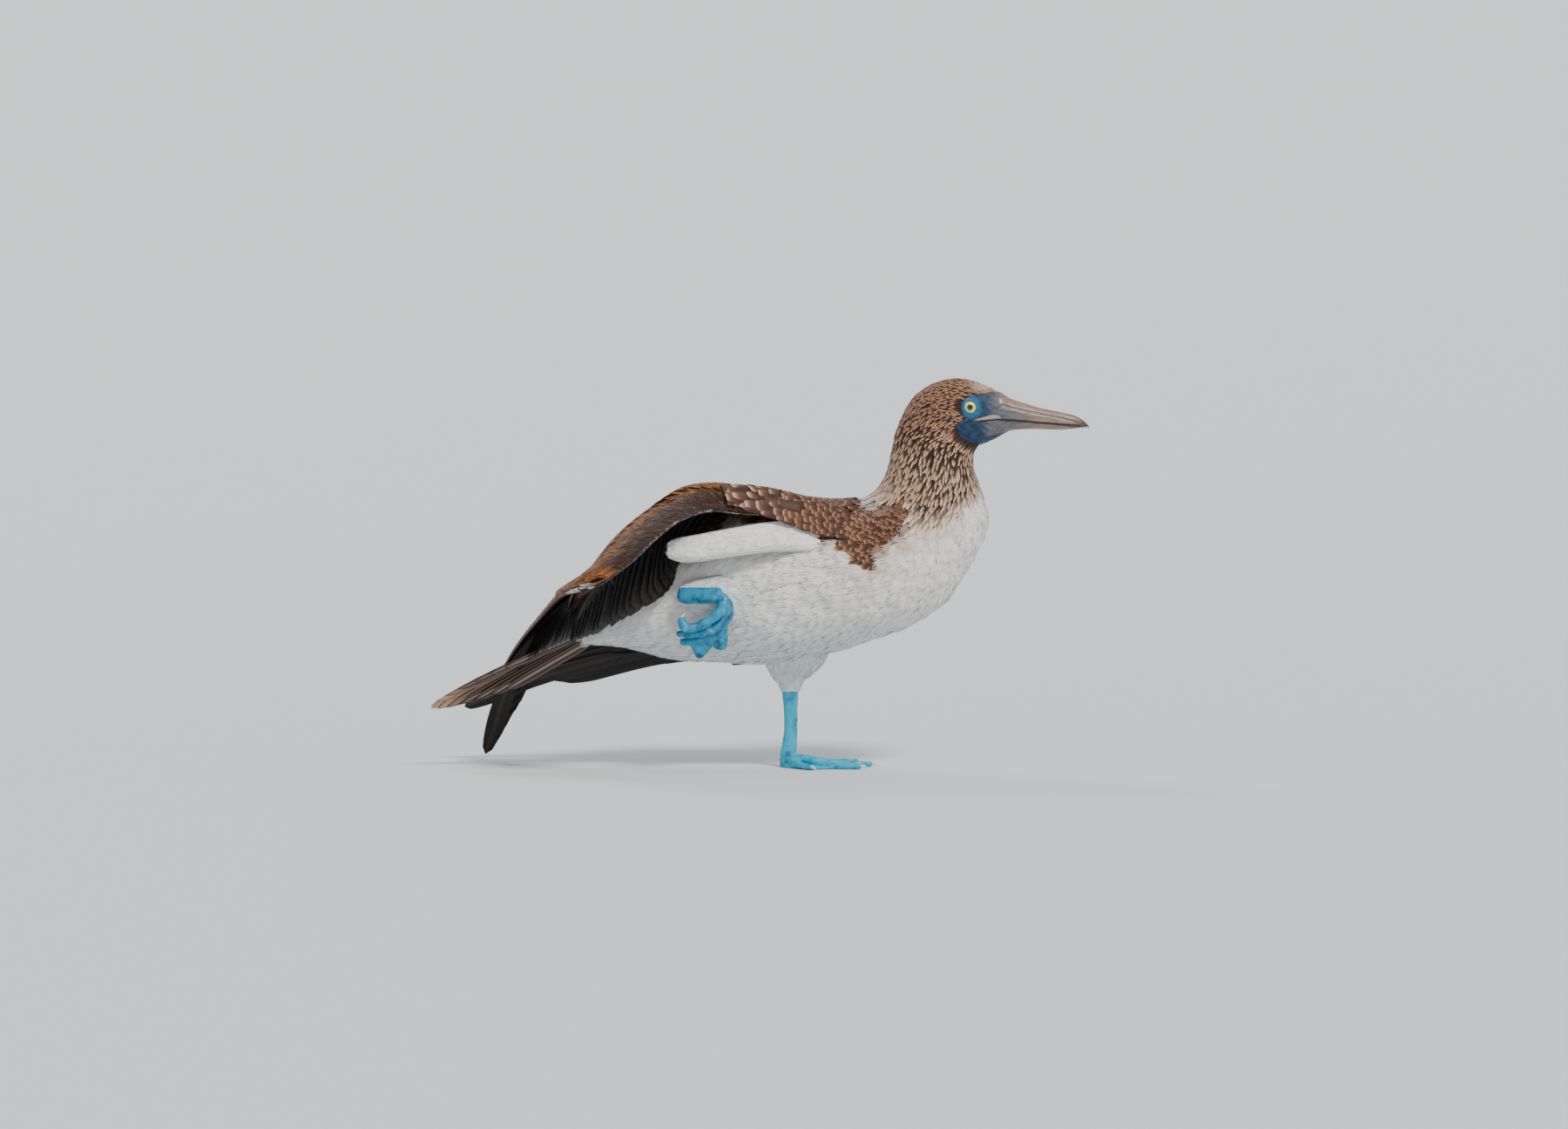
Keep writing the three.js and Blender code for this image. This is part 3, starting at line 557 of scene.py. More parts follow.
def body_loft(t, columns):
    """Rings of the body at places t along its outline table, the first point of each on the back."""
    back_x, back_z, belly_x, belly_z, half_width = spline(BODY_LINES, t).T
    back = np.stack([back_x, 0 * back_x, back_z], 1)
    belly = np.stack([belly_x, 0 * belly_x, belly_z], 1)
    turn = np.linspace(0, 2 * math.pi, columns, endpoint=False)
    sine = np.sin(turn)
    across = np.sign(sine) * np.abs(sine) ** 0.9
    middle = (back + belly) / 2
    half = (back - belly) / 2
    points = middle[:, None] + half[:, None] * np.cos(turn)[None, :, None]
    return points + np.array([0, 1, 0])[None, None] * (half_width[:, None] * across[None])[..., None]


def inside_outline(x, z, outline):
    """Which points lie inside a closed outline."""
    hit = np.zeros(np.shape(x), bool)
    for (x0, z0), (x1, z1) in zip(outline, outline[1:] + outline[:1]):
        crosses = (z0 > z) != (z1 > z)
        where = x0 + (z - z0) * (x1 - x0) / (z1 - z0 + 1e-9)
        hit ^= crosses & (x < where)
    return hit


def outline_distance(x, z, outline):
    """Distance to a closed outline, inside or out."""
    best = np.full(np.shape(x), 1e9)
    for (x0, z0), (x1, z1) in zip(outline, outline[1:] + outline[:1]):
        dx, dz = x1 - x0, z1 - z0
        along = np.clip(((x - x0) * dx + (z - z0) * dz) / (dx * dx + dz * dz), 0, 1)
        best = np.minimum(best, np.hypot(x - x0 - along * dx, z - z0 - along * dz))
    return best


def markings(points):
    """Shares of each marking at points, the painted shade low on the body, and how far up the head they
    are.
    """
    x, z = points[..., 0], points[..., 2]
    edge = np.interp(x, *zip(*MANTLE_EDGE_LINE))
    mottle = np.sin(0.31 * x + 1.7 * np.sin(0.23 * z)) * np.sin(0.37 * z + 1.3 * np.sin(0.19 * x))
    above_breast = z - np.interp(x, *zip(*NECK_EDGE_LINE)) + 5 * mottle
    nape = np.exp(-(((x - 97) / 15) ** 2) - ((z - 299) / 13) ** 2)
    near_mantle = fade(z - edge + 10 * mottle, -40, -4)
    return {
        "face": inside_outline(x, z, FACE_OUTLINE),
        "mantle": fade(z - edge + 7 * mottle, -9, 9) * (1 - fade(x, 118, 150)) * (1 - fade(z, 290, 304)),
        "streaks": fade(above_breast, -8, 34) * fade(x, 66, 84),
        "nape": nape * (0.72 + 0.28 * mottle),
        "buff": near_mantle * fade(x, 40, 110) * (1 - fade(x, 165, 200)),
        # painted shade with a blue reflection, strongest low on the belly
        "under": 1 - fade(z, 112, 190),
        "head": fade(z, 335, 380),
        "forehead": fade(x, 190, 216) * fade(z, 398, 408),
    }


def body_tone(points):
    """The colour of skin and coat at places on the body, with painted shade low on the belly."""
    marks = markings(points)
    # painted shade: the white turns blue-grey low on the belly
    tone = blend(WHITE, SHADE_WHITE, 0.75 * marks["under"])
    tone = blend(tone, BUFF, 0.8 * marks["buff"] * (1 - marks["mantle"]))
    tone = blend(tone, NECK_DARK, marks["streaks"] ** 2)
    tone = blend(tone, MANTLE, marks["mantle"] * (1 - marks["nape"]))
    tone = blend(tone, BUFF, 0.7 * marks["nape"])
    tone = blend(tone, srgb(232, 214, 200), marks["forehead"])
    return np.where(marks["face"][..., None], FACE_BLUE, tone), marks


def with_ripples(points):
    """Gentle waves in the plumage of the trunk, as where feather tips lie in uneven rows."""
    waves = rng.normal(0, 1, (9, 3)) * np.array([0.07, 0.16, 0.24])
    phases = rng.uniform(0, 2 * math.pi, 9)
    height = np.sin(points @ waves.T + phases).sum(-1) * 0.34
    trunk = 1 - fade(points[..., 2], 268, 300) * fade(points[..., 0], 60, 90)
    spread = points - points.mean(1, keepdims=True)
    return points + unit(spread) * (height * trunk)[..., None]


BODY_ROWS, BODY_COLUMNS = 340, 230
body = round_surface(with_ripples(body_loft(np.linspace(0, 1, BODY_ROWS), BODY_COLUMNS)))


COAT_DEPTH = 3.4
THINNER_COAT = {"streaks": 1.2, "head": 1.1}


def inset_of(points):
    """How far the skin lies inside the solids: the depth of the coat."""
    marks = markings(points)
    return COAT_DEPTH - sum(less * marks[name] for name, less in THINNER_COAT.items())


THIGHS = {
    # path and [width, height] radii of each feathered thigh
    "left": (
        [(14, 16, 150), (5, 14, 119), (2, 9, 101), (2, 5, 91), (2.5, 4, 81)],
        [(32, 38), (28, 35), (20, 24), (13.5, 15), (9, 10.6)],
    ),
    "right": (
        [(-16, -28, 177), (-44, -40, 180), (-72, -50, 184), (-97, -57, 187), (-116, -61, 189)],
        [(10, 18), (19, 29), (20, 28), (15, 20), (9.6, 10.4)],
    ),
}
THIGH_INSET = 0.84
INSET_SMOOTHING = 3


def build_skin():
    """One skin over torso, neck, head and both thighs, inside the feathers."""
    depth = inset_of(body.points)
    for _ in range(INSET_SMOOTHING):
        depth = (depth + np.roll(depth, 1, 1) + np.roll(depth, -1, 1)) / 3
    inner = body.points - body.normal * depth[..., None]
    tone, _ = body_tone(body.points)
    points, faces = closed_tube(inner)
    sides = inner.shape[1]
    s, t = np.meshgrid(np.linspace(0, 1, len(inner) + 2), np.arange(sides) / sides, indexing="ij")
    all_points, all_faces = [points], [faces]
    tones = [np.concatenate([tone[:1], tone, tone[-1:]]).reshape(-1, 3)]
    maps = [np.stack([s, t], -1).reshape(-1, 2)]
    for path, radii in THIGHS.values():
        more, more_faces = closed_tube(tube(path, np.array(radii) * THIGH_INSET))
        all_faces.append(more_faces + sum(len(p) for p in all_points))
        all_points.append(more)
        tones.append(np.repeat(WHITE[None], len(more), 0))
        maps.append(np.zeros((len(more), 2)))
    points, faces, tone, places = (np.concatenate(a) for a in (all_points, all_faces, tones, maps))
    piece = make_piece("body_skin", points, faces, skin, tone, bake=places)
    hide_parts("torso", "neck", "head", "thigh_left", "thigh_right")


# Body feathers


def scatter(surface, row_gap, column_gap, low=0.0, high=1.0, jitter=1.0):
    """Roots in uneven rows, as s and t. The gaps are millimetres, or functions of s that give them."""
    if not callable(row_gap):
        return scatter(surface, lambda s: row_gap, lambda s: column_gap, low, high, jitter)
    rows = len(surface.points)
    line = surface.points[:, :: max(1, surface.points.shape[1] // 16)]
    steps = np.linalg.norm(np.diff(line, axis=0), axis=-1).max(1)
    along = np.concatenate([[0], np.cumsum(steps)])
    total = along[-1]
    roots_s, roots_t = [], []
    place = low * total
    while place < high * total:
        s = np.interp(place, along, np.linspace(0, 1, rows))
        ring = surface.points[min(int(s * (rows - 1)), rows - 1)]
        sides = np.roll(ring, -1, 0) - ring if surface.wrap else ring[1:] - ring[:-1]
        count = max(3, int(np.linalg.norm(sides, axis=-1).sum() / column_gap(s)))
        shift = 0.5 * (len(roots_t) % 2)
        t = (np.arange(count) + shift) / count + jitter * rng.uniform(-0.3, 0.3, count) / count
        roots_s.append(np.full(count, s) + jitter * rng.uniform(-0.4, 0.4, count) * row_gap(s) / total)
        roots_t.append(t)
        place += row_gap(s)
    return np.clip(np.concatenate(roots_s), 0, 1), np.concatenate(roots_t)


def scaly_tone(px, py, edge_colour, strength):
    """Brown feathers, darker at their roots as painted shade, with a pale rim."""
    rim = fade(py, 0.82, 1.0) + 0.8 * fade(np.abs(px), 0.72, 1.0) * fade(py, 0.4, 0.8)
    edge = (np.clip(rim, 0, 1) * strength)[..., None]
    # painted shade: each feather darkens towards its root
    brown = MANTLE * (0.3 + 0.8 * fade(py, 0.4, 0.9))[..., None]
    return brown * (1 - edge) + edge_colour * edge


FACE_FRINGE = 1.5  # feathers root this far inside the rim of the bare face
EYE_CLEARANCE = 0.8
NECK_GAPS = 0.12  # share of the neck's roots without a feather
BILL_ROOT = (214, 352, 399)  # no feathers beyond this x between these two heights
BODY_GAPS = ([0, 0.2, 0.42, 0.52, 0.62, 0.74, 0.86, 1], [6, 7, 6.4, 5.6, 4.8, 3.6, 2.9, 2.1])  # s, then mm


def body_gap(s):
    """Millimetres between the rows of the body's feathers."""
    return np.interp(s, *BODY_GAPS)


def body_coat():
    """Soft white feathers, narrow ones on the neck and head, and scaly ones on the mantle."""
    s, t = scatter(body, body_gap, lambda s: 0.8 * body_gap(s))
    places = body.pick(body.points, s, t)
    x, z = places[:, 0], places[:, 2]
    bare = inside_outline(x, z, FACE_OUTLINE) & (outline_distance(x, z, FACE_OUTLINE) > FACE_FRINGE)
    near_eye = (x - EYE[0]) ** 2 + (z - EYE[2]) ** 2 < (EYE_RADIUS + EYE_CLEARANCE) ** 2
    in_bill = (x > BILL_ROOT[0]) & (z > BILL_ROOT[1]) & (z < BILL_ROOT[2])
    keep = ~(bare | near_eye | in_bill)
    s, t, places = s[keep], t[keep], places[keep]
    marks = markings(places)
    streaked = marks["streaks"] * (1 - marks["mantle"])
    stay = ~((streaked > 0.5) & (rng.random(len(s)) < NECK_GAPS))
    s, t, places, streaked = s[stay], t[stay], places[stay], streaked[stay]
    tone, marks = body_tone(places)
    dice = rng.random(len(s))
    is_mantle = marks["mantle"] * (1 - 0.75 * marks["nape"]) > dice
    is_neck = ~is_mantle & (streaked > 0.12 * dice)
    gap = body_gap(s)
    neck_droop = 0.42 * fade(s, 0.5, 0.62) * (1 - fade(s, 0.84, 0.95))
    droop = np.sin(2 * math.pi * t) * (neck_droop - 0.2 * (1 - fade(s, 0.4, 0.52)))

    def lay_coat(name, pick, pattern, size, colours, look, lift, lay_base):
        coat(name, body, (s[pick], t[pick]), pattern, size, colours, look, lift, lay_base, droop[pick])

    soft = np.flatnonzero(~is_mantle & ~is_neck)

    def soft_colours(px, py, feathers):
        return tone[soft][feathers][:, None] * (0.93 + 0.07 * py[..., None])

    size = (gap[soft] * 3.1, gap[soft] * 1.9)
    lay_coat("coat_white", soft, SOFT, size, soft_colours, white_down, 0.24, -2.6)

    necks = np.flatnonzero(is_neck)
    share = streaked[necks]
    up_head = marks["head"][necks]
    paler = np.clip(marks["forehead"][necks] + 0.8 * marks["nape"][necks], 0, 1)
    dark = blend(NECK_DARK, CROWN_DARK, up_head)
    cream = blend(CREAM, CROWN_CREAM, up_head) * rng.uniform(0.72, 1.06, (len(necks), 1))
    dark = blend(dark, cream, np.clip(1 - share * 1.5, 0, 0.92))
    dark = blend(dark, srgb(236, 220, 206), paler * 0.9)
    cream = blend(cream, WHITE, np.clip(1.1 - share, 0, 1) * 0.8)

    def neck_colours(px, py, feathers):
        stripe = (fade(py, 0.45, 0.75) * (1 - fade(np.abs(px), 0.2, 0.6)))[..., None]
        return dark[feathers][:, None] * (1 - stripe) + cream[feathers][:, None] * stripe

    size = (gap[necks] * 2.9, gap[necks] * 0.86)
    neck_base = 0.4 - inset_of(places[necks])
    look = (neck_feather, "plumage_streaked")
    lay_coat("coat_neck", necks, LANCE, size, neck_colours, look, 0.24, neck_base)

    mantles = np.flatnonzero(is_mantle)
    thin = rng.random(len(mantles)) < np.interp(places[mantles, 0], [-60, 20, 90], [0.16, 0.34, 0.85])
    mantles = mantles[thin]
    length = np.interp(places[mantles, 0], [-60, -10, 60, 110], [27, 22, 14, 8])

    def mantle_colours(px, py, feathers):
        return scaly_tone(px, py, MANTLE_EDGE, 0.75)

    size = (length, length * 0.74)
    lay_coat("coat_mantle", mantles, ROUND, size, mantle_colours, brown_vanes, 0.16, -2.2)


def thigh_coat():
    """Soft feathers over both thighs."""
    for side, (path, radii) in THIGHS.items():
        surface = round_surface(tube(path, radii, steps=60, sides=40))
        s, t = scatter(surface, 4.2, 3.4, low=0.02, high=0.98)
        length = np.interp(s, [0, 0.8, 1], [17, 12, 8]) * rng.uniform(0.75, 1.3, len(s))

        def colours(px, py, feathers):
            # painted shade: each feather gets a random share of the blue-grey painted shade
            return blend(SHADE_WHITE, WHITE, 0.15 + 0.6 * rng.random(len(feathers)))[:, None]

        size = (length, length * 0.6)
        coat(f"coat_thigh_{side}", surface, (s, t), SOFT, size, colours, white_down, 0.16, -1.9, math.pi)


# Wings and tail

CAMBER_FORWARD = 0.65
RIGHT_ARM = [
    # front edge, back edge, thickness of flesh, camber and its direction
    ((14, -52, 272), (10, -18, 288), 10, (0, -2, 6)),
    ((-20, -60, 274), (-28, -16, 286), 14, (0, -2, 12)),
    ((-52, -74, 276), (-74, -22, 262), 17, (0, -4, 27)),
    ((-84, -90, 279), (-112, -34, 224), 18, (0, -6, 43)),
    ((-114, -106, 270), (-132, -54, 192), 18, (-4, -8, 46)),
    ((-140, -124, 251), (-162, -62, 170), 16, (-8, -8, 40)),
    ((-160, -138, 232), (-190, -64, 154), 14, (-10, -8, 32)),
    ((-184, -148, 214), (-214, -66, 144), 12, (-10, -6, 20)),
    ((-205, -154, 200), (-228, -76, 142), 9, (-8, -2, 9)),
]
RIGHT_HAND = [
    ((-216, -153, 198), (-212, -92, 204), 9, (-4, 1, 4)),
    ((-240, -118, 189), (-206, -60, 202), 8, (-3, 1, 3)),
    ((-266, -60, 160), (-222, -20, 176), 6, (-3, 1.5, 3)),
    ((-289, -10, 130), (-246, 10, 146), 5, (-3, 2, 3)),
    ((-310, 32, 96), (-268, 36, 108), 4, (-4, 3, 2)),
    ((-324, 56, 60), (-286, 56, 66), 3, (-4, 4, 1)),
    ((-329, 66, 32), (-306, 66, 32), 2.4, (-3, 4, 0)),
    ((-328, 69, 9), (-325, 69, 9), 1, (-0.2, 0.3, 0)),
]
LEFT_ARM = [
    ((66, 62, 170), (66, 60, 232), 6, (0, 4, 0)),
    ((52, 70, 146), (50, 56, 262), 12, (0, 12, 0)),
    ((20, 74, 124), (14, 44, 280), 15, (0, 20, 3)),
    ((-20, 74, 109), (-34, 36, 284), 16, (0, 26, 4)),
    ((-62, 72, 104), (-84, 30, 262), 15, (0, 26, 5)),
    ((-104, 70, 102), (-126, 24, 234), 13, (0, 22, 5)),
    ((-140, 70, 99), (-160, 24, 204), 10, (0, 18, 4)),
]
LEFT_HAND = [
    ((-141, 70, 99), (-161, 24, 203), 9, (0, 18, 4)),
    ((-180, 72, 93), (-200, 34, 172), 7, (0, 12, 3)),
    ((-230, 76, 85), (-246, 52, 138), 5, (0, 6, 2)),
    ((-285, 80, 75), (-290, 70, 103), 4, (0, 3, 1)),
    ((-326, 84, 63), (-328, 81, 77), 3, (0, 1, 0)),
    ((-350, 86, 58), (-350, 86, 60), 1, (0, 0.1, 0)),
]
AXILLARY_PLUME = [
    ((34, -55, 232), (34, -40, 262), 7, (0, -4, 1)),
    ((8, -60, 234), (8, -50, 266), 7, (0, -5, 1)),
    ((-20, -64, 234), (-20, -59, 266), 7, (0, -6, 1)),
    ((-56, -68, 229), (-56, -65, 261), 7, (0, -6, 1)),
    ((-92, -72, 224), (-92, -69, 255), 6, (0, -5, 1)),
    ((-116, -74, 224), (-116, -72, 251), 5, (0, -4, 1)),
    ((-131, -75, 232), (-131, -74, 244), 3, (0, -2, 1)),
]
TAIL_ROOT = np.array([-205.0, 0, 146])
TAIL_TIP = np.array([-384.0, -6, 57])
TAIL_ROLL = 0.5
TAIL_HALF_WIDTHS = [(0, 15, 15), (0.5, 27, 7), (1, 38, 3)]


def tail_stations():
    """The tail's sheet, in the form of a wing's table."""
    along = TAIL_TIP - TAIL_ROOT
    across = np.array([0, math.cos(TAIL_ROLL), -math.sin(TAIL_ROLL)])
    stations = []
    for t, half, thickness in TAIL_HALF_WIDTHS:
        middle = TAIL_ROOT + along * t
        stations.append((middle - across * half, middle + across * half, thickness, (0, 2, 4)))
    return stations


def sheet_point(stations, u, v, w=0.0):
    """A point of a wing's sheet, u along it, v from front to back edge, w millimetres above it."""
    u, v = np.broadcast_arrays(np.asarray(u, float), np.asarray(v, float))
    front = spline([s[0] for s in stations], u)
    chord = spline([s[1] for s in stations], u) - front
    out = spline([s[3] for s in stations], u)
    rise = np.linalg.norm(out, axis=-1) * np.sin(math.pi * np.clip(v, 0, 1) ** CAMBER_FORWARD)
    face = unit(out - chord * ((out * chord).sum(-1) / (chord * chord).sum(-1))[..., None])
    return front + chord * v[..., None] + face * (rise + w)[..., None]


SECTION_EDGE = 0.4  # the flesh is still this thick, each way, at its edges


def half_depth(stations, u, across):
    """Half the thickness of a wing's flesh at u, and at across from 0 to 1 between its edges."""
    depth = spline([[s[2]] for s in stations], u)[..., 0]
    return depth * 0.5 * np.sqrt(np.clip(1 - (2 * across - 1) ** 2, 0, 1))


def flesh_rings(stations, span, reach, share, rows=60, sides=40):
    """Rings of the flesh of a wing, share of its solid's thickness."""
    u = np.linspace(*span, rows)[:, None]
    turn = np.linspace(0, 2, sides, endpoint=False)[None]
    across = np.where(turn < 1, turn, 2 - turn)
    half = share * (half_depth(stations, u, across) + SECTION_EDGE)
    v = reach[0] + (reach[1] - reach[0]) * across
    return sheet_point(stations, u, v, np.where(turn < 1, half, -half))


VANE_ROWS, VANE_COLUMNS = 15, 7
VANE_THICKNESS = 0.12  # each way
SHAFT = (0.5, 0.16)  # height, and width as a share of the feather's
UNDERSIDE_SHADE = 0.8
TIP_WOBBLE = 0.006
WIDTH_SPREAD = (0.94, 1.06)


def flight_outline(y, pointed):
    """Half width of a flight feather at y from 0, the root, to 1, the tip."""
    quill = 0.16 + 0.84 * fade(y, 0.02, 0.2)
    near_tip = np.clip(y - (0.94 - pointed), 0, 1) / (0.06 + pointed)
    return quill * np.maximum(np.sqrt(np.clip(1 - near_tip ** (1.4 + pointed), 0, 1)), 0.03)


def flight_feathers(name, stations, feathers, colour, look):
    """Large feathers on a sheet as thin closed vanes with a raised shaft, in one piece.

    Each feather is a dict with root and tip [u, v], width, rise at root, middle and tip, tilt, how pointed
    it is and its length. colour(x, y, index) gives its tones. look is a material and a slot; the slot is
    not used.
    """
    y = np.linspace(0, 1, VANE_ROWS)
    x = np.linspace(-1, 1, VANE_COLUMNS)
    px = np.tile(x, VANE_ROWS)
    py = np.repeat(y, VANE_COLUMNS)
    faces = grid_faces(VANE_ROWS, VANE_COLUMNS)
    count = len(px)
    all_points, all_faces, tones, vanes, maps = [], [], [], [], []
    for index, feather in enumerate(feathers):
        root, tip = np.array(feather["root"]), np.array(feather["tip"])
        where = root + (tip - root) * y[:, None]
        here = sheet_point(stations, *where.T)
        along = unit(sheet_point(stations, *(where + (tip - root) * 0.01).T) - here)
        up = unit(sheet_point(stations, *where.T, 1.0) - here)
        side = unit(np.cross(along, up))
        width = feather["width"]
        edge = x[None] * (width / 2 * flight_outline(y, feather["pointed"]))[:, None]
        rise = np.interp(y, [0, 0.5, 1], feather["rise"])
        height = rise[:, None] + feather["tilt"] * edge / width - 0.05 * edge**2 / width * 4
        shaft = SHAFT[0] * np.exp(-((x[None] / SHAFT[1]) ** 2)) * (1 - 0.7 * y[:, None])
        thick = (VANE_THICKNESS + shaft) * (1 - x[None] ** 2)
        thick = thick * np.minimum(1, 8 * np.minimum(y, 1 - y))[:, None]
        centre = here[:, None] + side[:, None] * edge[..., None]
        shade = colour(px, py, index)
        first = 2 * count * index
        all_faces += [faces + first, faces[:, ::-1] + first + count]
        for level, over in ((height + thick, 1.0), (height - thick, UNDERSIDE_SHADE)):
            all_points.append((centre + up[:, None] * level[..., None]).reshape(-1, 3))
            tones.append(shade * over)
            vanes.append(np.stack([edge.ravel(), py * feather["length"], 0 * px], -1))
            maps.append(np.stack([px * PATCH_ON_MAP[0], py * PATCH_ON_MAP[1]], -1) + root * 0.9)
    material, slot = look
    arrays = (np.concatenate(a) for a in (tones, vanes, maps))
    piece = make_piece(name, np.concatenate(all_points), np.concatenate(all_faces), material, *arrays)
    weld = piece.modifiers.new("weld", "WELD")
    weld.merge_threshold = 0.01 * MM
    return piece


def feather_row(count, roots, tips, width, rise, tilt, stack=0.0, pointed=0.05, length=100):
    """Settings of a row of like feathers. roots and tips are the first and last feather's [u, v].

    stack is how much higher each lies than the one before.
    """
    roots, tips = np.array(roots), np.array(tips)
    row = []
    for i in range(count):
        t = i / (count - 1)
        wobble = rng.normal(0, TIP_WOBBLE, 2)
        feather = {
            "root": roots[0] * (1 - t) + roots[1] * t,
            "tip": tips[0] * (1 - t) + tips[1] * t + wobble,
            "width": np.interp(t, [0, 1], np.broadcast_to(width, 2)) * rng.uniform(*WIDTH_SPREAD),
            "rise": [height + stack * i for height in rise],
        }
        row.append({**feather, "tilt": tilt, "pointed": pointed, "length": length})
    return row


def flight_colour(base, edge, strength, spread=0.36):
    """Dark feathers with a slightly paler rim and a shaft that catches the light.

    spread is how much their tones differ.
    """

    def colour(px, py, index):
        rim = np.clip(fade(np.abs(px), 0.7, 1.0) + fade(py, 0.93, 1.0), 0, 1) * strength
        shaft = np.exp(-((px / 0.07) ** 2))[:, None] * 0.25
        tone = blend(base, edge, rim) * (1 + spread * ((index * 0.618) % 1 - 0.5))
        return tone + shaft * srgb(150, 120, 96) * 0.5

    return colour


def wing_flesh(name, stations, span, reach, share, colour, nodes_replaced, slot, rows=60):
    """The flesh under the feathers of a wing or the tail, in place of a node."""
    points, faces = closed_tube(flesh_rings(stations, span, reach, share, rows))
    piece = make_piece(name, points, faces, skin, np.repeat(colour[None], len(points), 0))
    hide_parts(*nodes_replaced)


def sheet_surface(stations, u, v, height, side=1):
    """A surface on the upper (side 1) or lower (side -1) face of a wing, height above its sheet."""
    points = sheet_point(stations, u, v, side * height)
    return Surface(points, sheet_point(stations, u, v, side * (height + 1)) - points)


def wing_surface(stations, span, reach, side):
    """A face of a wing's flesh, for small coverts."""
    u = np.linspace(*span, 80)[:, None]
    v = np.linspace(*reach, 40)[None]
    half = half_depth(stations, u, np.clip(v / 0.5, 0, 1)) + SECTION_EDGE
    return sheet_surface(stations, u, v, half, side)


def ridge_surface(stations, span, reach, clear, side=1):
    """A face of a wing from its front edge back over the larger coverts, clear millimetres above them."""
    u = np.linspace(*span, 90)[:, None]
    v = np.linspace(*reach, 50)[None]
    half = half_depth(stations, u, 2 * np.clip(v, 0, 0.5)) + SECTION_EDGE
    return sheet_surface(stations, u, v, np.maximum(half, clear * fade(v, 0.06, 0.2)), side)


COVERT_WIDTH = 0.34  # as a share of a covert's length
COVERT_BASE = -0.3


def hair_coverts(name, surface, size, gap, angle, tone_at, lift=0.12):
    """Narrow coverts over a surface. tone_at(s, t, places) gives the colour of each."""
    s, t = scatter(surface, gap, gap * 0.8)
    base = tone_at(s, t, surface.pick(surface.points, s, t)) * rng.uniform(0.5, 1.35, (len(s), 1))

    def colours(px, py, feathers):
        # painted shade darkens each covert towards its root; the darker middle is its own colour
        depth = (0.35 + 0.75 * fade(py, 0.35, 0.9)) * (1 - 0.35 * np.exp(-((px / 0.3) ** 2)))
        return base[feathers][:, None] * depth[..., None]

    shape = (size, size * COVERT_WIDTH)
    coat(name, surface, (s, t), LANCE, shape, colours, brown_vanes, lift, COVERT_BASE, angle)


WRIST = [
    ((-176, -145, 220), (-200, -104, 200), 10, (-6, -6, 15)),
    ((-200, -152, 206), (-212, -106, 200), 10, (-5, -5, 10)),
    ((-222, -146, 198), (-214, -96, 202), 9, (-4, 0, 6)),
    ((-244, -114, 188), (-214, -68, 200), 7, (-3, 1, 4)),
]
INNER_HAND = [
    # fills the fan of feathers between the forearm and the hand
    ((-196, -148, 204), (-222, -72, 143), 6, (-5, -4, 7)),
    ((-208, -138, 200), (-238, -54, 138), 6, (-5, -2, 6)),
    ((-218, -112, 196), (-256, -32, 128), 6, (-5, 0, 6)),
    ((-230, -84, 186), (-274, -8, 114), 5, (-5, 1, 5)),
    ((-246, -52, 170), (-286, 12, 100), 5, (-5, 2, 5)),
]
COVERT_LIE = math.pi * 0.78  # radians from straight back
PATCH_WHITE = WHITE * 0.95
ALULA_LINE = ((-205.6, 204.5), (-238.5, 184.5))  # x, z of the ends of the white patch at the wrist


def alula_patch(places):
    """Share of white at places near the wrist."""
    (x0, z0), (x1, z1) = ALULA_LINE
    dx, dz = x1 - x0, z1 - z0
    along = np.clip(((places[..., 0] - x0) * dx + (places[..., 2] - z0) * dz) / (dx * dx + dz * dz), 0, 1)
    away = np.hypot(places[..., 0] - x0 - along * dx, places[..., 2] - z0 - along * dz)
    return 1 - fade(away, 2.5, 5.5)


RIGHT_ARM_TIERS = [
    # name, then count, roots, tips, width, rise and tilt of the feathers
    ("secondaries", 26, ([0, 0.3], [0.76, 0.3]), ([0.2, 1], [1, 1]), 32, [0.5, 0, 0], 0.5),
    ("greater_coverts", 22, ([0.1, 0.2], [0.88, 0.2]), ([0.2, 0.7], [0.96, 0.7]), 24, [2, 3.8, 3], 1.1),
    ("median_coverts", 24, ([0.12, 0.12], [0.92, 0.12]), ([0.2, 0.52], [0.98, 0.52]), 22,
     [2.6, 5.6, 5], 0.9),
    ("under_coverts", 22, ([0.02, 0.12], [0.8, 0.12]), ([0.16, 0.66], [0.98, 0.66]), 30,
     [-6, -7.5, -4], -0.5),
]


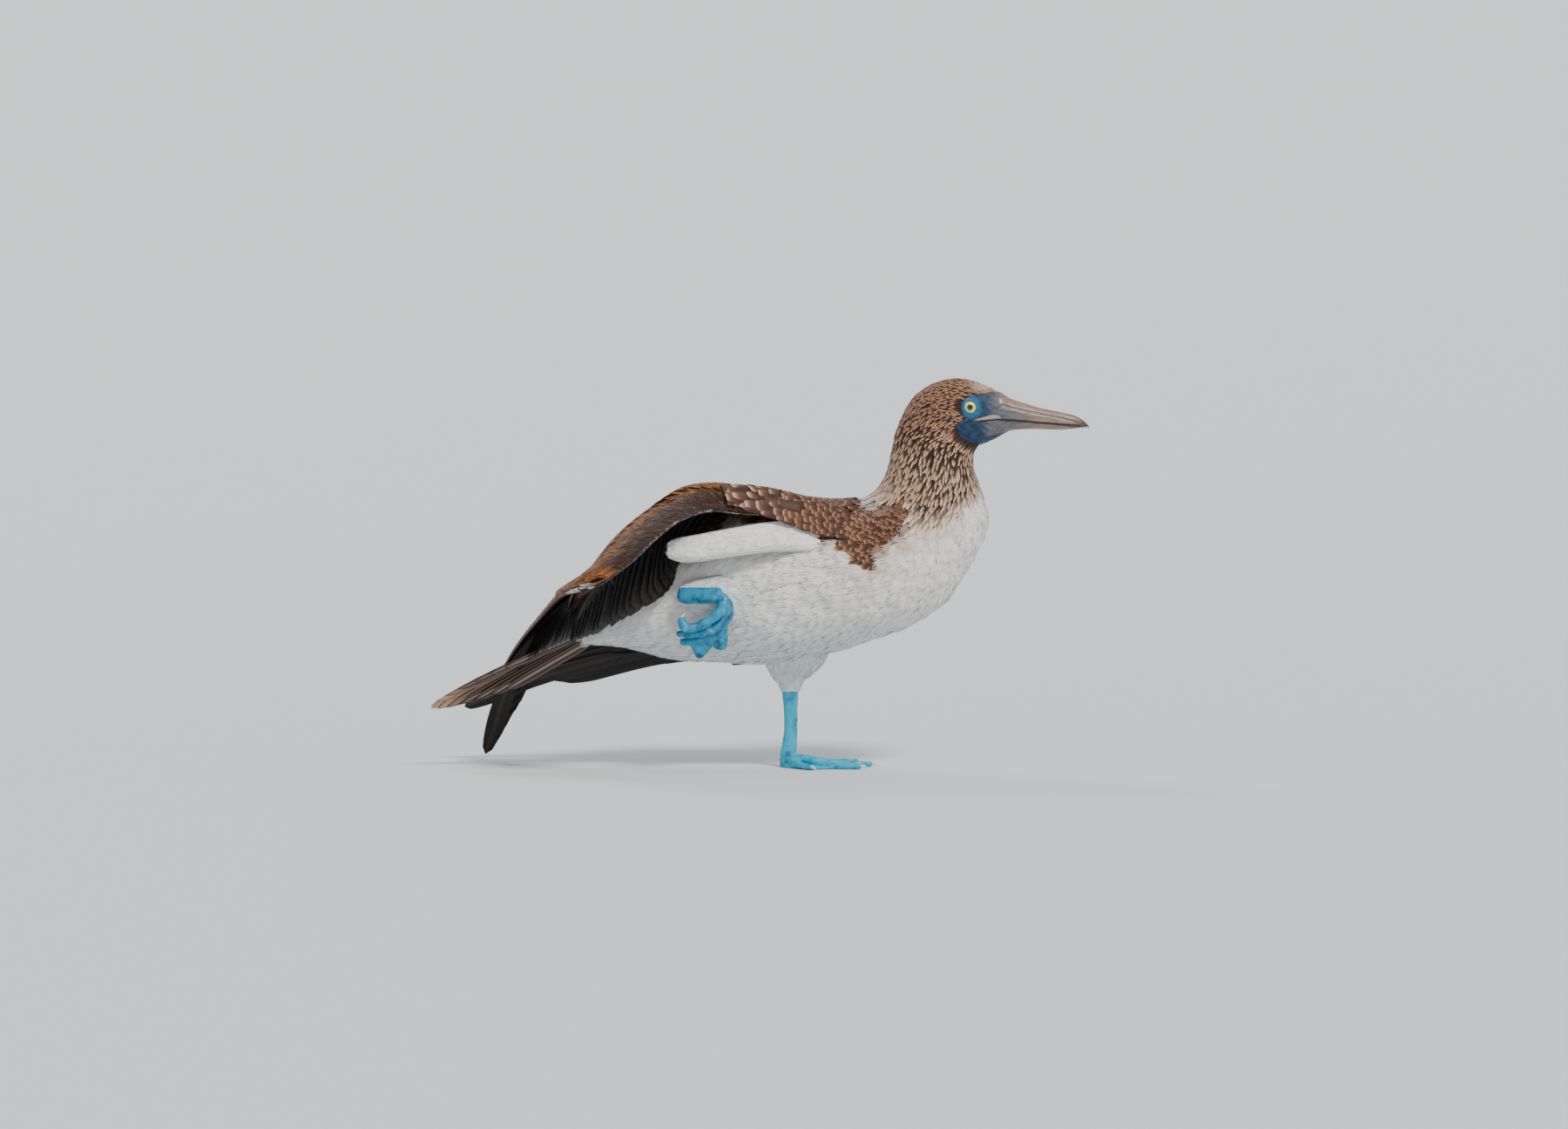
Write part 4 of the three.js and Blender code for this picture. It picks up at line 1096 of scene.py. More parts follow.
def right_wing():
    """The lifted wing: flesh, tiers of large feathers, then small coverts and linings."""
    flesh_looks = (0.8, COVERT, ["wing_right_arm"], "plumage_brown")
    wing_flesh("wing_right_arm_skin", RIGHT_ARM, (0, 1), (0, 0.5), *flesh_looks)
    flesh_looks = (0.8, FLIGHT, ["wing_right_hand"], "flight_feathers")
    wing_flesh("wing_right_hand_skin", RIGHT_HAND, (0, 0.45), (0, 0.55), *flesh_looks)
    dark = flight_colour(FLIGHT, srgb(66, 54, 48), 0.35)
    brown = flight_colour(srgb(58, 38, 26), srgb(120, 88, 66), 0.4)
    black = flight_colour(FLIGHT, srgb(54, 44, 40), 0.2, spread=0.14)
    looks = [(black, dark_vanes), (brown, brown_vanes), (brown, brown_vanes), (black, dark_vanes)]
    for (name, *row), look in zip(RIGHT_ARM_TIERS, looks):
        flight_feathers(f"wing_right_{name}", RIGHT_ARM, feather_row(*row), *look)

    def with_patch(tone, places):
        return blend(tone, PATCH_WHITE, alula_patch(places))

    def arm_tone(s, t, places):
        gold = fade(t + 0.03 * rng.normal(0, 1, len(t)), 0.04, 0.17) * fade(s, 0.04, 0.2)
        tone = blend(COVERT, COVERT_GOLD, gold)
        return with_patch(blend(tone, srgb(112, 72, 44), 0.6 * fade(t, 0.8, 1.0)), places)

    def lining_tone(s, t, places):
        # painted shade: near-black lining, lighter towards its back edge
        return blend(UNDERWING_DARK_IN_SHADE, UNDERWING_DARK_IN_SHADE * 1.5, t)

    def edge_tone(s, t, places):
        return blend(WHITE, BUFF, 0.6 * s)

    def root_tone(s, t, places):
        return blend(WHITE, BUFF, 0.5 + 0.5 * t)

    along = np.linspace(0.14, 1, 90)[:, None]
    upper = ridge_surface(RIGHT_ARM, (0.14, 1), (0, 0.56), 2.2 + 4.6 * fade(along, 0.16, 0.4))
    hair_coverts("wing_right_lesser_coverts", upper, 13, 3.0, COVERT_LIE, arm_tone)
    for name, span, reach, size, gap, tone_at, lift in (
        ("lining", (0, 1), (0, 0.3), 14, 4.2, lining_tone, 0.12),
        ("edge", (0.06, 0.96), (0, 0.075), 8, 2.2, edge_tone, 0.2),
        ("root_lining", (0, 0.3), (0, 0.17), 11, 2.8, root_tone, 0.2),
    ):
        under = wing_surface(RIGHT_ARM, span, reach, -1)
        hair_coverts(f"wing_right_{name}", under, size, gap, COVERT_LIE, tone_at, lift)

    row = (10, ([0.05, 0.44], [0.3, 0.24]), ([0.52, 1.04], [1.0, 0.5]), [27, 20], [4.5, 4.5, 4.5], 0.4)
    primaries = feather_row(*row, stack=-1.1, pointed=0.3, length=260)
    flight_feathers("wing_right_primaries", RIGHT_HAND, primaries, dark, dark_vanes)
    row = (10, ([0.03, 0.4], [0.24, 0.14]), ([0.28, 0.84], [0.62, 0.36]), 18, [5, 6, 5], 0.3)
    coverts = feather_row(*row, stack=-0.5)
    flight_feathers("wing_right_primary_coverts", RIGHT_HAND, coverts, dark, dark_vanes)
    row = (14, ([0.0, 0.02], [0.72, 0.02]), ([0.06, 1.02], [1.0, 1.0]), [26, 22], [1, 2, 1], 1.4)
    fan = feather_row(*row, pointed=0.12)
    flight_feathers("wing_right_inner_primaries", INNER_HAND, fan, dark, dark_vanes)

    def hand_tone(s, t, places):
        return with_patch(blend(COVERT_GOLD, COVERT, fade(t, 0.2, 0.75) + 0.3 * s), places)

    def wrist_tone(s, t, places):
        return with_patch(blend(COVERT_GOLD, COVERT, 0.5 * t), places)

    hand = ridge_surface(RIGHT_HAND, (0, 0.62), (0, 0.5), 4.4)
    hair_coverts("wing_right_hand_coverts", hand, 13, 3.0, math.pi * 0.92, hand_tone)
    wrist = ridge_surface(WRIST, (0, 1), (0, 1), 3.0)
    hair_coverts("wing_right_wrist_coverts", wrist, 12, 3.0, math.pi * 0.9, wrist_tone)


SCAPULARS = {
    # rows of the shoulder feathers from the rear forwards: upper edge, middle and lower edge
    "right": [
        ((-76, -34, 300), (-72, -60, 306), (-64, -82, 288)),
        ((-44, -26, 300), (-40, -54, 304), (-36, -74, 278)),
        ((-12, -14, 297.5), (-10, -44, 298), (-8, -68, 268)),
        ((20, -6, 292), (20, -38, 287.5), (20, -63, 257)),
        ((50, 0, 289), (50, -36, 280), (50, -58, 250)),
        ((85, 0, 293), (90, -32, 276), (94, -50, 248)),
    ],
    "left": [
        ((-84, 4, 262), (-84, 24, 268), (-88, 46, 254)),
        ((-48, 2, 285), (-46, 28, 291), (-44, 60, 262)),
        ((-12, -4, 290), (-10, 36, 290), (-8, 68, 254)),
        ((20, -4, 290), (20, 40, 284.5), (20, 70, 240)),
        ((50, 0, 289), (50, 38, 280), (50, 68, 232)),
        ((85, 0, 293), (90, 33, 276), (98, 52, 240)),
    ],
}


def scapular_size(s):
    return np.interp(s, [0, 0.3, 0.6, 1], [30, 25, 16, 9])


def scapulars():
    """Overlapping shoulder feathers over the roots of both wings."""
    u, v = np.linspace(0, 1, 70), np.linspace(0, 1, 40)
    for side, lines in SCAPULARS.items():
        columns = np.array(lines, float)
        rows = np.stack([spline(columns[:, k], u) for k in range(3)], 1)
        surface = Surface(np.stack([spline(row, v) for row in rows]), np.array([0, 0, 1]))
        gaps = (lambda s: scapular_size(s) * 0.48, lambda s: scapular_size(s) * 0.5)
        s, t = scatter(surface, *gaps, jitter=0.8)
        ragged = fade(s, 0.78, 1.0) < 0.25 + 0.75 * rng.random(len(s))
        s, t = s[ragged], t[ragged]
        rear = 1 - fade(s, 0.3, 0.62)
        size = (scapular_size(s), scapular_size(s) * 0.86)

        def colours(px, py, feathers):
            share = rear[feathers][:, None, None]
            plain = scaly_tone(px, py, MANTLE_EDGE, 0.75)
            return plain * (1 - share) + scaly_tone(px, py, SCAPULAR_EDGE, 1.0) * share

        angle = 0.28 if side == "right" else -0.28
        base = -0.8 - 1.2 * fade(s, 0.8, 1.0)
        coat(f"scapulars_{side}", surface, (s, t), ROUND, size, colours, brown_vanes, 0.1, base, angle)


LEFT_BRIDGE = [
    # long feathers that carry the forearm's lower edge on into the hand
    ((-96, 72, 103), (-124, 26, 232), 6, (0, 22, 4)),
    ((-140, 73, 99), (-164, 28, 204), 6, (0, 18, 4)),
    ((-186, 75, 92), (-206, 38, 168), 5, (0, 11, 3)),
    ((-232, 78, 84), (-250, 56, 136), 4, (0, 6, 2)),
    ((-286, 82, 74), (-294, 72, 102), 3, (0, 3, 1)),
]


LEFT_DARK_ROWS = 5  # how many of the lowest coverts of each row are black


def left_wing():
    """The half closed wing behind the body."""
    flesh_looks = (0.8, COVERT, ["wing_left_arm"], "plumage_brown")
    wing_flesh("wing_left_arm_skin", LEFT_ARM, (0, 0.66), (0, 1), *flesh_looks)
    flesh_looks = (0.7, FLIGHT, ["wing_left_hand"], "flight_feathers")
    wing_flesh("wing_left_hand_skin", LEFT_HAND, (0, 0.4), (0.08, 0.92), *flesh_looks)
    dark = flight_colour(FLIGHT, srgb(66, 54, 48), 0.35)
    brown = flight_colour(srgb(62, 42, 28), srgb(168, 130, 100), 0.5)

    def brown_above(px, py, index):
        return dark(px, py, index) if index < LEFT_DARK_ROWS else brown(px, py, index)

    row = (14, ([0.6, 0.09], [0.6, 0.9]), ([1.0, 0.1], [1.0, 0.95]), 24, [1, 0.6, 0.4], 1.8)
    flight_feathers("wing_left_secondaries", LEFT_ARM, feather_row(*row), dark, dark_vanes)
    row = (11, ([0.0, 0.09], [0.0, 0.86]), ([0.82, 0.09], [1.0, 0.6]), [24, 20], [3, 3, 1.5], 1.4)
    flight_feathers("wing_left_tertials", LEFT_BRIDGE, feather_row(*row, pointed=0.2), dark, dark_vanes)
    row = (15, ([0.42, 0.075], [0.42, 0.92]), ([0.82, 0.09], [0.82, 0.96]), 25, [4, 6, 5.4], 1.4)
    flight_feathers("wing_left_greater_coverts", LEFT_ARM, feather_row(*row), brown_above, brown_vanes)
    row = (16, ([0.1, 0.075], [0.24, 0.92]), ([0.56, 0.085], [0.6, 0.96]), 24, [6, 8.4, 7.4], 1.2)
    flight_feathers("wing_left_median_coverts", LEFT_ARM, feather_row(*row), brown_above, brown_vanes)
    row = (10, ([0.02, 0.84], [0.1, 0.2]), ([0.5, 0.94], [1.0, 0.5]), [27, 17], [5, 5, 5], 0.4)
    primaries = feather_row(*row, stack=-1.2, pointed=0.3, length=240)
    flight_feathers("wing_left_primaries", LEFT_HAND, primaries, dark, dark_vanes)

    u = np.linspace(0, 0.5, 80)[:, None]
    v = np.linspace(0, 1, 60)[None]
    upper = sheet_surface(LEFT_ARM, u, v, half_depth(LEFT_ARM, u, v) + 1.4)
    s, t = scatter(upper, 5.4, 5.4)
    low = 1 - fade(t, 0.16, 0.34)

    def colours(px, py, feathers):
        share = low[feathers][:, None, None]
        return scaly_tone(px, py, MANTLE_EDGE, 0.8) * (1 - share) + FLIGHT * share

    name = "wing_left_lesser_coverts"
    coat(name, upper, (s, t), ROUND, (15.0, 10.5), colours, brown_vanes, 0.12, -0.6, math.pi)


TAIL_FEATHERS = 14


def tail():
    """Tail feathers with coverts above and below their roots."""
    stations = tail_stations()
    stub_looks = (0.8, TAIL_DARK, ["tail"], "flight_feathers")
    wing_flesh("tail_stub", stations, (0, 0.24), (0.08, 0.92), *stub_looks, rows=20)
    feathers = []
    for i in range(TAIL_FEATHERS):
        side = 2 * i / (TAIL_FEATHERS - 1) - 1
        height = 1.2 * (TAIL_FEATHERS / 4 - abs(i - (TAIL_FEATHERS - 1) / 2) - side * 0.5)
        ends = {"root": [0.02, 0.5 + 0.3 * side], "tip": [1 - 0.46 * abs(side) ** 1.25, 0.5 + 0.46 * side]}
        shape = {"width": 20, "rise": [height] * 3, "tilt": 0.0, "pointed": 0.16, "length": 190}
        feathers.append({**ends, **shape})

    def colour(px, py, index):
        central = 1 - abs(2 * index / (TAIL_FEATHERS - 1) - 1)
        pale = fade(central, 0.45, 0.9) * (0.4 + 0.6 * fade(py, 0.1, 0.7))
        rim = 0.75 * fade(np.abs(px), 0.6, 1.0)
        tone = blend(TAIL_DARK, TAIL_PALE, np.clip(pale + rim * 0.6, 0, 1))
        return blend(tone, srgb(232, 206, 180), np.exp(-((px / 0.12) ** 2)) * 0.6)

    flight_feathers("tail_feathers", stations, feathers, colour, dark_vanes)
    coverts = feather_row(9, ([0.0, 0.2], [0.0, 0.8]), ([0.34, 0.12], [0.34, 0.88]), 15, [6, 8, 5.4], 1.0)
    brown = flight_colour(TAIL_DARK, TAIL_PALE, 0.5)
    flight_feathers("tail_upper_coverts", stations, coverts, brown, dark_vanes)

    def under_tone(px, py, index):
        return blend(WHITE * 0.9, srgb(150, 122, 104), fade(py, 0.3, 0.95))

    row = (9, ([0.0, 0.2], [0.0, 0.8]), ([0.22, 0.3], [0.2, 0.7]), 13, [-5, -6, -2], -1.0)
    below = feather_row(*row, pointed=0.4)
    flight_feathers("tail_under_coverts", stations, below, under_tone, (vane_feather, "plumage_white"))


def axillaries():
    """The white plume in the armpit: long feathers under a soft coat."""
    # white made brighter by the factor white, turning to a painted blue-grey shade towards the plume's end
    # by along
    def plume_white_shading_to_tip(white, along):
        return blend(WHITE * white, srgb(224, 230, 238), 0.5 * along)

    def tone(px, py, index):
        return plume_white_shading_to_tip(1.06, fade(py, 0.55, 1.0))

    rows = []
    for height in (0.0, 1.6, 3.0):
        start = 0.02 + 0.05 * height
        tips = ([0.99 - 0.1 * height, 0.22], [0.97 - 0.1 * height, 0.8])
        rows += feather_row(13, ([start, 0.1], [start, 0.9]), tips, 9, [height] * 3, 0.5)
    piece = flight_feathers("axillary_feathers", AXILLARY_PLUME, rows, tone, white_down)
    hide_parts("axillaries_right")

    for name, side in (("coat_axillary_inner", 1), ("coat_axillary_outer", -1)):
        face = ridge_surface(AXILLARY_PLUME, (0, 0.95), (0.04, 0.96), 4.4, side)
        s, t = scatter(face, 5.0, 4.0)
        # painted shade towards the plume's end
        tones = plume_white_shading_to_tip(1.08, fade(s, 0.6, 1.0))

        def colours(px, py, feathers):
            return tones[feathers][:, None]

        angle = math.pi + 0.14 * rng.normal(0, 1, len(s))
        base = -0.5 - 1.6 * fade(s, 0.7, 1.0)
        coat(name, face, (s, t), SOFT, (22.0, 11.0), colours, white_down, 0.1, base, angle)


# Bill, eyes and lids

BILL_LINES = [
    # x, culmen z, lower edge z, half width
    (196, 404, 350, 15),
    (212, 405, 350, 15.5),
    (226, 401.5, 355, 14.3),
    (237, 395, 360.5, 12.8),
    (252, 390, 362, 11),
    (270, 384.5, 362, 9),
    (288, 381, 361.5, 7.4),
    (303, 377.5, 362.5, 5.8),
    (314, 372, 363.8, 4),
    (321.5, 364.6, 364, 0.8),
]
MOUTH_LINE = [
    # x, z of the line between the halves of the bill, from the gape on
    (179, 370), (200, 371.5), (222, 373), (245, 371.5), (272, 369), (300, 366.5), (322, 364.8),
    (330, 364.2),
]
RIDGE_LINE = [(190, 376), (203, 380), (217, 384), (229, 388), (250, 382.5), (281, 376.5), (316, 368)]
PLATE_OUTLINE = [(191, 370.6), (203, 375), (217, 378.6), (225, 377.4), (228, 373.4)]
CHIN_LINE = [(196, 352), (215, 354), (246, 361.5)]
BODY_END_T = 1.0
FACE_START_T = 0.76
FACE_ROWS, FACE_COLUMNS = 190, 400
FACE_MARGIN = 3.2  # the face runs on this far under the feathers
MOUTH_GAP = 0.16  # half the gap between the two halves of the bill


def horn_tone(points):
    """Blue face skin that turns to grey and brown horn along the bill, with a painted highlight above its
    groove and painted shade in the groove, along the mouth and round the gape plate.
    """
    x, z = points[..., 0], points[..., 2]
    mouth = np.interp(x, *zip(*MOUTH_LINE))
    ridge = np.interp(x, *zip(*RIDGE_LINE))
    uneven = 2.2 * np.sin(z * 0.9 + 0.5 * x) + 1.5 * np.sin(z * 2.1 - 0.7 * x)
    upper = z > mouth
    start = np.where(upper, 206.0, 204.0)
    horn_share = fade(x + uneven, start, start + np.where(upper, 22.0, 12.0))
    horn_share = horn_share * np.where(upper, 1.0, fade(z - np.interp(x, *zip(*CHIN_LINE)), -0.5, 3.5))
    horn_share = np.where(x > 248, 1.0, horn_share)
    tone = blend(HORN_BASE, HORN_MIDDLE, fade(x, 228, 270))
    # painted highlight: the horn above the groove is paler
    tone = blend(tone, HORN_RIDGE_HIGHLIGHT, fade(z - ridge, -1, 2.5) * fade(x, 214, 240) * 0.9)
    tone = blend(tone, HORN_TIP, fade(x, 292, 324) * 0.85)
    # painted shade in the groove along the upper bill
    line = np.exp(-(((z - ridge) / 0.9) ** 2)) * fade(x, 205, 230) * (1 - fade(x, 300, 318))
    tone = blend(tone, HORN_TIP, 0.7 * line)
    patches = 0.5 + 0.5 * np.sin(0.45 * x + 0.8 * np.sin(0.5 * z)) * np.sin(0.4 * z)
    from_eye = np.hypot(x - EYE[0], z - EYE[2])
    skin_tone = blend(FACE_BLUE, FACE_DEEP, patches)
    skin_tone = blend(skin_tone, srgb(34, 100, 138), 0.8 * (1 - fade(from_eye, 9, 15)))
    tone = blend(skin_tone, tone, horn_share)
    plate = inside_outline(x, z, PLATE_OUTLINE)
    tone = np.where(plate[..., None], GAPE_PLATE, tone)
    # painted shade round the raised gape plate and along the mouth
    edge_line = np.exp(-((np.minimum(outline_distance(x, z, PLATE_OUTLINE), 9) / 0.7) ** 2))
    mouth_line = np.exp(-(((z - mouth) / 0.75) ** 2)) * fade(x, 186, 196)
    lines = 0.6 * edge_line * fade(x, 190, 196) + 0.9 * mouth_line
    return blend(tone, srgb(18, 22, 28), np.clip(lines, 0, 0.95))


def face_patch():
    """The bare face as a finer layer of skin over the head, sunk under the feathers at its rim."""
    t = np.linspace(FACE_START_T, BODY_END_T, FACE_ROWS)
    surface = round_surface(body_loft(t, FACE_COLUMNS))
    points = surface.points
    x, z = points[..., 0], points[..., 2]
    inside = inside_outline(x, z, FACE_OUTLINE)
    rim = outline_distance(x, z, FACE_OUTLINE)
    depth = np.where(inside, 0.5 * fade(rim, 0, 1.5), -2.6 * fade(rim, 0, 2.6)) - 0.2
    mouth = np.interp(x, *zip(*MOUTH_LINE))
    depth = depth - 1.1 * np.exp(-(((z - mouth) / 0.75) ** 2)) * fade(x, 188, 198)
    plate = inside_outline(x, z, PLATE_OUTLINE)
    depth = depth + np.where(plate, 0.7, 0) * fade(outline_distance(x, z, PLATE_OUTLINE), 0, 1.2)
    away = np.hypot(x - EYE[0], z - EYE[2])
    folds = 0.16 * np.sin(1.9 * away) * fade(away, 8, 10) * (1 - fade(away, 14, 19))
    depth = depth + folds + 0.1 * np.sin(1.3 * z + 0.5 * x) * np.sin(0.9 * x - 0.4 * z)
    depth = depth * (1 - fade(t, 0.985, 1.0))[:, None]
    points = points + surface.normal * depth[..., None]
    faces = grid_faces(FACE_ROWS, FACE_COLUMNS, wrap=True)
    kept = (inside | (rim < FACE_MARGIN)).ravel()
    used, faces = np.unique(faces[kept[faces].all(1)], return_inverse=True)
    flat = points.reshape(-1, 3)[used]
    tone = horn_tone(points).reshape(-1, 3)[used]
    piece = make_piece("bare_face", flat, faces.reshape(-1, 4), horn_skin, tone)


def bill():
    """Both halves of the bill, parted along the mouth."""
    rows, sides = 220, 120
    x, top, low, wide = spline(BILL_LINES, np.linspace(0, 1, rows)).T
    turn = np.linspace(0, 2 * math.pi, sides, endpoint=False)[None]
    sine = np.sin(turn)
    y = wide[:, None] * np.sign(sine) * np.abs(sine) ** 1.15
    z = (top + low)[:, None] / 2 + (top - low)[:, None] / 2 * np.cos(turn)
    mouth = np.interp(x, *zip(*MOUTH_LINE))[:, None]
    ridge = np.interp(x, *zip(*RIDGE_LINE))[:, None]
    fading = (1 - fade(x, 296, 316))[:, None]
    dent = 0.9 * fading * np.exp(-(((z - ridge) / 1.1) ** 2))
    dent = dent + 1.0 * np.exp(-(((z - mouth) / 0.8) ** 2))
    y = np.sign(y) * np.maximum(np.abs(y) - dent * np.minimum(1, np.abs(y) / 3), 0)
    for name, replaced, limited in (
        ("bill_upper_horn", "bill_upper", np.maximum(z, mouth + MOUTH_GAP)),
        ("bill_lower_horn", "bill_lower", np.minimum(z, mouth - MOUTH_GAP)),
    ):
        rings = np.stack([np.repeat(x[:, None], sides, 1), y, limited], -1)
        points, faces = closed_tube(rings)
        piece = make_piece(name, points, faces, horn, horn_tone(points))
        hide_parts(replaced)


LID_RADIUS = 7.5
LID_SIZE = (1.2, 0.9)  # half width and height of the ring of the lids
LID_OUT = 22.4  # how far from the middle plane it stands
LID_BEADS = 22
LID_GRID = (120, 16)


def eyes():
    """Eyeballs and a beaded ring of lids round each."""
    for name, side in (("right", -1), ("left", 1)):
        lat = np.linspace(0.001, math.pi - 0.001, 49)[:, None]
        lon = np.linspace(0, 2 * math.pi, 64, endpoint=False)[None]
        ball = np.stack([np.sin(lat) * np.cos(lon), np.cos(lat) + 0 * lon, np.sin(lat) * np.sin(lon)], -1)
        rings = np.array([EYE[0], side * EYE[1], EYE[2]]) + ball * EYE_RADIUS
        points, faces = closed_tube(rings)
        piece = make_piece(f"eyeball_{name}", points, faces[:, ::-1], eye_material(name))
        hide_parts(f"eye_{name}")
        around = np.linspace(0, 2 * math.pi, LID_GRID[0], endpoint=False)[:, None]
        section = np.linspace(0, 2 * math.pi, LID_GRID[1], endpoint=False)[None]
        beads = 0.14 * np.cos(around * LID_BEADS)
        radius = LID_RADIUS + (LID_SIZE[0] + beads) * np.cos(section)
        out = side * (LID_OUT + (LID_SIZE[1] + beads) * np.sin(section))
        lid = np.stack([EYE[0] + radius * np.cos(around), out, EYE[2] + radius * np.sin(around)], -1)
        flat = lid.reshape(-1, 3)
        i, j = np.meshgrid(*(np.arange(n) for n in LID_GRID), indexing="ij")
        this, after = i * LID_GRID[1], (i + 1) % LID_GRID[0] * LID_GRID[1]
        k = (j + 1) % LID_GRID[1]
        faces = np.stack([this + j, after + j, after + k, this + k], -1).reshape(-1, 4)
        tone = np.repeat(srgb(38, 110, 150)[None], len(flat), 0)
        ring = make_piece(f"eyelid_{name}", flat, faces if side > 0 else faces[:, ::-1], skin, tone)


# Legs and feet

STANDING_TOES = [
    # pad x, pad y, tip x, tip y, claw
    (13, -20, 24, -33, 8),
    (42, -18, 76, -24, 9),
    (48, 4, 88, 8, 9),
    (42, 24, 73, 43, 8),
]
RAISED_TOES = [
    # path and [width, height] radii of each curled toe
    (
        [(-78, -74, 187), (-68, -78, 184), (-74, -84, 171),
         (-92, -88, 159), (-108, -90, 156), (-113, -88, 165)],
        [(5.5, 6), (6, 6.5), (5.4, 5.6), (5, 5), (4.8, 5.2), (4, 4.6)],
    ),
    (
        [(-76, -73, 188), (-64, -74, 178), (-72, -77, 160),
         (-92, -79, 150), (-112, -80, 149), (-121, -80, 149.5)],
        [(5.5, 6), (5.6, 6), (5, 5.4), (4.6, 4.8), (3.6, 4), (0.8, 1)],
    ),
    (
        [(-76, -71, 188), (-63, -70, 176), (-70, -70, 157),
         (-90, -70, 143), (-106, -71, 140), (-113, -71, 140)],
        [(5, 5.5), (5.2, 5.6), (4.6, 5), (4.4, 4.6), (4, 4.4), (3.2, 3.6)],
    ),
]
BIG_WEB = [
    # x, z round the folded web of the raised foot
    (-66, 172), (-80, 152), (-104, 142), (-101, 130), (-97, 123), (-90, 124), (-78, 138), (-68, 150),
]
SMALL_WEB = [(-64, 174), (-65, 136), (-72, 131), (-80, 135), (-76, 150)]
HEEL = np.array([-10.0, 3.0])


def domed(rings, reach):
    """A tube with a dome of this reach added at both ends."""
    ends = []
    for ring, inner in ((rings[0], rings[1]), (rings[-1], rings[-2])):
        centre = ring.mean(0)
        outwards = unit(centre - inner.mean(0))
        turns = np.linspace(0, math.pi / 2, 7)[1:]
        shrunk = [centre + (ring - centre) * max(math.cos(a), 0.04) for a in turns]
        ends.append([points + outwards * reach * math.sin(a) for points, a in zip(shrunk, turns)])
    return np.concatenate([ends[0][::-1], rings, ends[1]])


def knuckled(rings, swell, every):
    """Toes with a slight swelling at each joint."""
    centre = rings.mean(1, keepdims=True)
    k = np.arange(len(rings)) / len(rings) * every
    size = 1 + swell * np.cos(2 * math.pi * k)
    return centre + (rings - centre) * size[:, None, None]


def fused(name, parts, voxel, material):
    """Joins closed parts into one organic surface."""
    offset = 0
    points, faces = [], []
    for part_points, part_faces in parts:
        points.append(part_points)
        faces.append(part_faces + offset)
        offset += len(part_points)
    piece = make_piece(name, np.concatenate(points), np.concatenate(faces), material)
    remesh = piece.modifiers.new("fuse", "REMESH")
    remesh.mode = "VOXEL"
    remesh.voxel_size = voxel * MM
    remesh.use_smooth_shade = True
    relax = piece.modifiers.new("relax", "SMOOTH")
    relax.iterations = 3
    relax.factor = 0.5
    return piece


def web_sheet(first, second, toe_height):
    """A web between two toes: a sheet from the heel to a scalloped edge, slightly slack in the middle."""
    rows, columns = 26, 20
    u = np.linspace(0, 1, rows)[:, None]
    v = np.linspace(0, 1, columns)[None]
    a = spline([HEEL, first[:2], first[2:4]], u + 0 * v)
    b = spline([HEEL, second[:2], second[2:4]], u + 0 * v)
    flat = a + (b - a) * v[..., None]
    notch = 0.16 * (u**2) * np.sin(math.pi * v)
    flat = HEEL + (flat - HEEL) * (1 - notch)[..., None]
    slack = toe_height * (0.45 + 0.55 * np.abs(2 * v - 1) ** 1.5) * (1 - 0.55 * u)
    slack = slack + 0.45 * np.sin(14 * v + 5 * u) * u
    top = np.concatenate([flat, (1.7 + slack)[..., None]], -1)
    bottom = np.concatenate([flat, np.full((rows, columns, 1), 0.25)], -1)
    faces = grid_faces(rows, columns)
    count = rows * columns
    root_side, tip_side = np.arange(columns), (rows - 1) * columns + np.arange(columns - 2, -1, -1)
    far_side, near_side = np.arange(1, rows) * columns + columns - 1, np.arange(rows - 2, 0, -1) * columns
    border = np.concatenate([root_side, far_side, tip_side, near_side])
    after = np.roll(border, -1)
    walls = np.stack([border, after, after + count, border + count], -1)
    every = np.concatenate([faces[:, ::-1], faces + count, walls[:, ::-1]])
    return np.concatenate([top.reshape(-1, 3), bottom.reshape(-1, 3)]), every


def claw_piece(name, path, radii):
    round_radii = [(radius, radius) for radius in radii]
    points, faces = closed_tube(tube(path, round_radii, side=(0, 0, 1), steps=16, sides=14))
    piece = make_piece(name, points, faces, claw)


def standing_leg():
    """The left shank, toes and webs as one skin, and its claws."""
    parts = []
    for number, (pad_x, pad_y, tip_x, tip_y, claw_length) in enumerate(STANDING_TOES, 1):
        knuckle = (pad_x * 0.45, 3 + (pad_y - 3) * 0.45, 9)
        path = [(-2, 3, 10), knuckle, (pad_x, pad_y, 4.6), (tip_x, tip_y, 3.4)]
        radii = [(4.6, 6), (4.2, 4.8), (3.6, 3.6), (2.6, 2.6)]
        parts.append(closed_tube(domed(knuckled(tube(path, radii, side=(0, 0, 1)), 0.06, 5), 2.6)))
        heading = unit(np.array([tip_x - pad_x, tip_y - pad_y, 0.0]))
        tip = np.array([tip_x, tip_y, 3.2])
        end = tip + heading * claw_length + np.array([0, 0, -2.4])
        middle = tip + heading * claw_length * 0.5 + np.array([0, 0, 0.3])
        claw_piece(f"claw_left_{number}", [tip - heading * 1.5, middle, end], (1.9, 1.5, 0.3))
    for first, second in zip(STANDING_TOES, STANDING_TOES[1:]):
        parts.append(web_sheet(first, second, 3.4))
    shank = tube(
        [(2, 4, 92), (2, 3.6, 80), (2.4, 3, 64), (2.6, 3, 42), (1, 3, 22), (-2, 3, 11), (-6, 3, 6.4)],
        [(6.6, 8.4), (7, 8.8), (5.9, 7.6), (5.3, 7.2), (6.4, 8.2), (7, 8), (4.4, 4.6)],
    )
    parts.append(closed_tube(domed(shank, 2.0)))
    leg = fused("leg_left_skin", parts, 0.9, foot_blue_lit)
    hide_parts("shank_left", "foot_left")


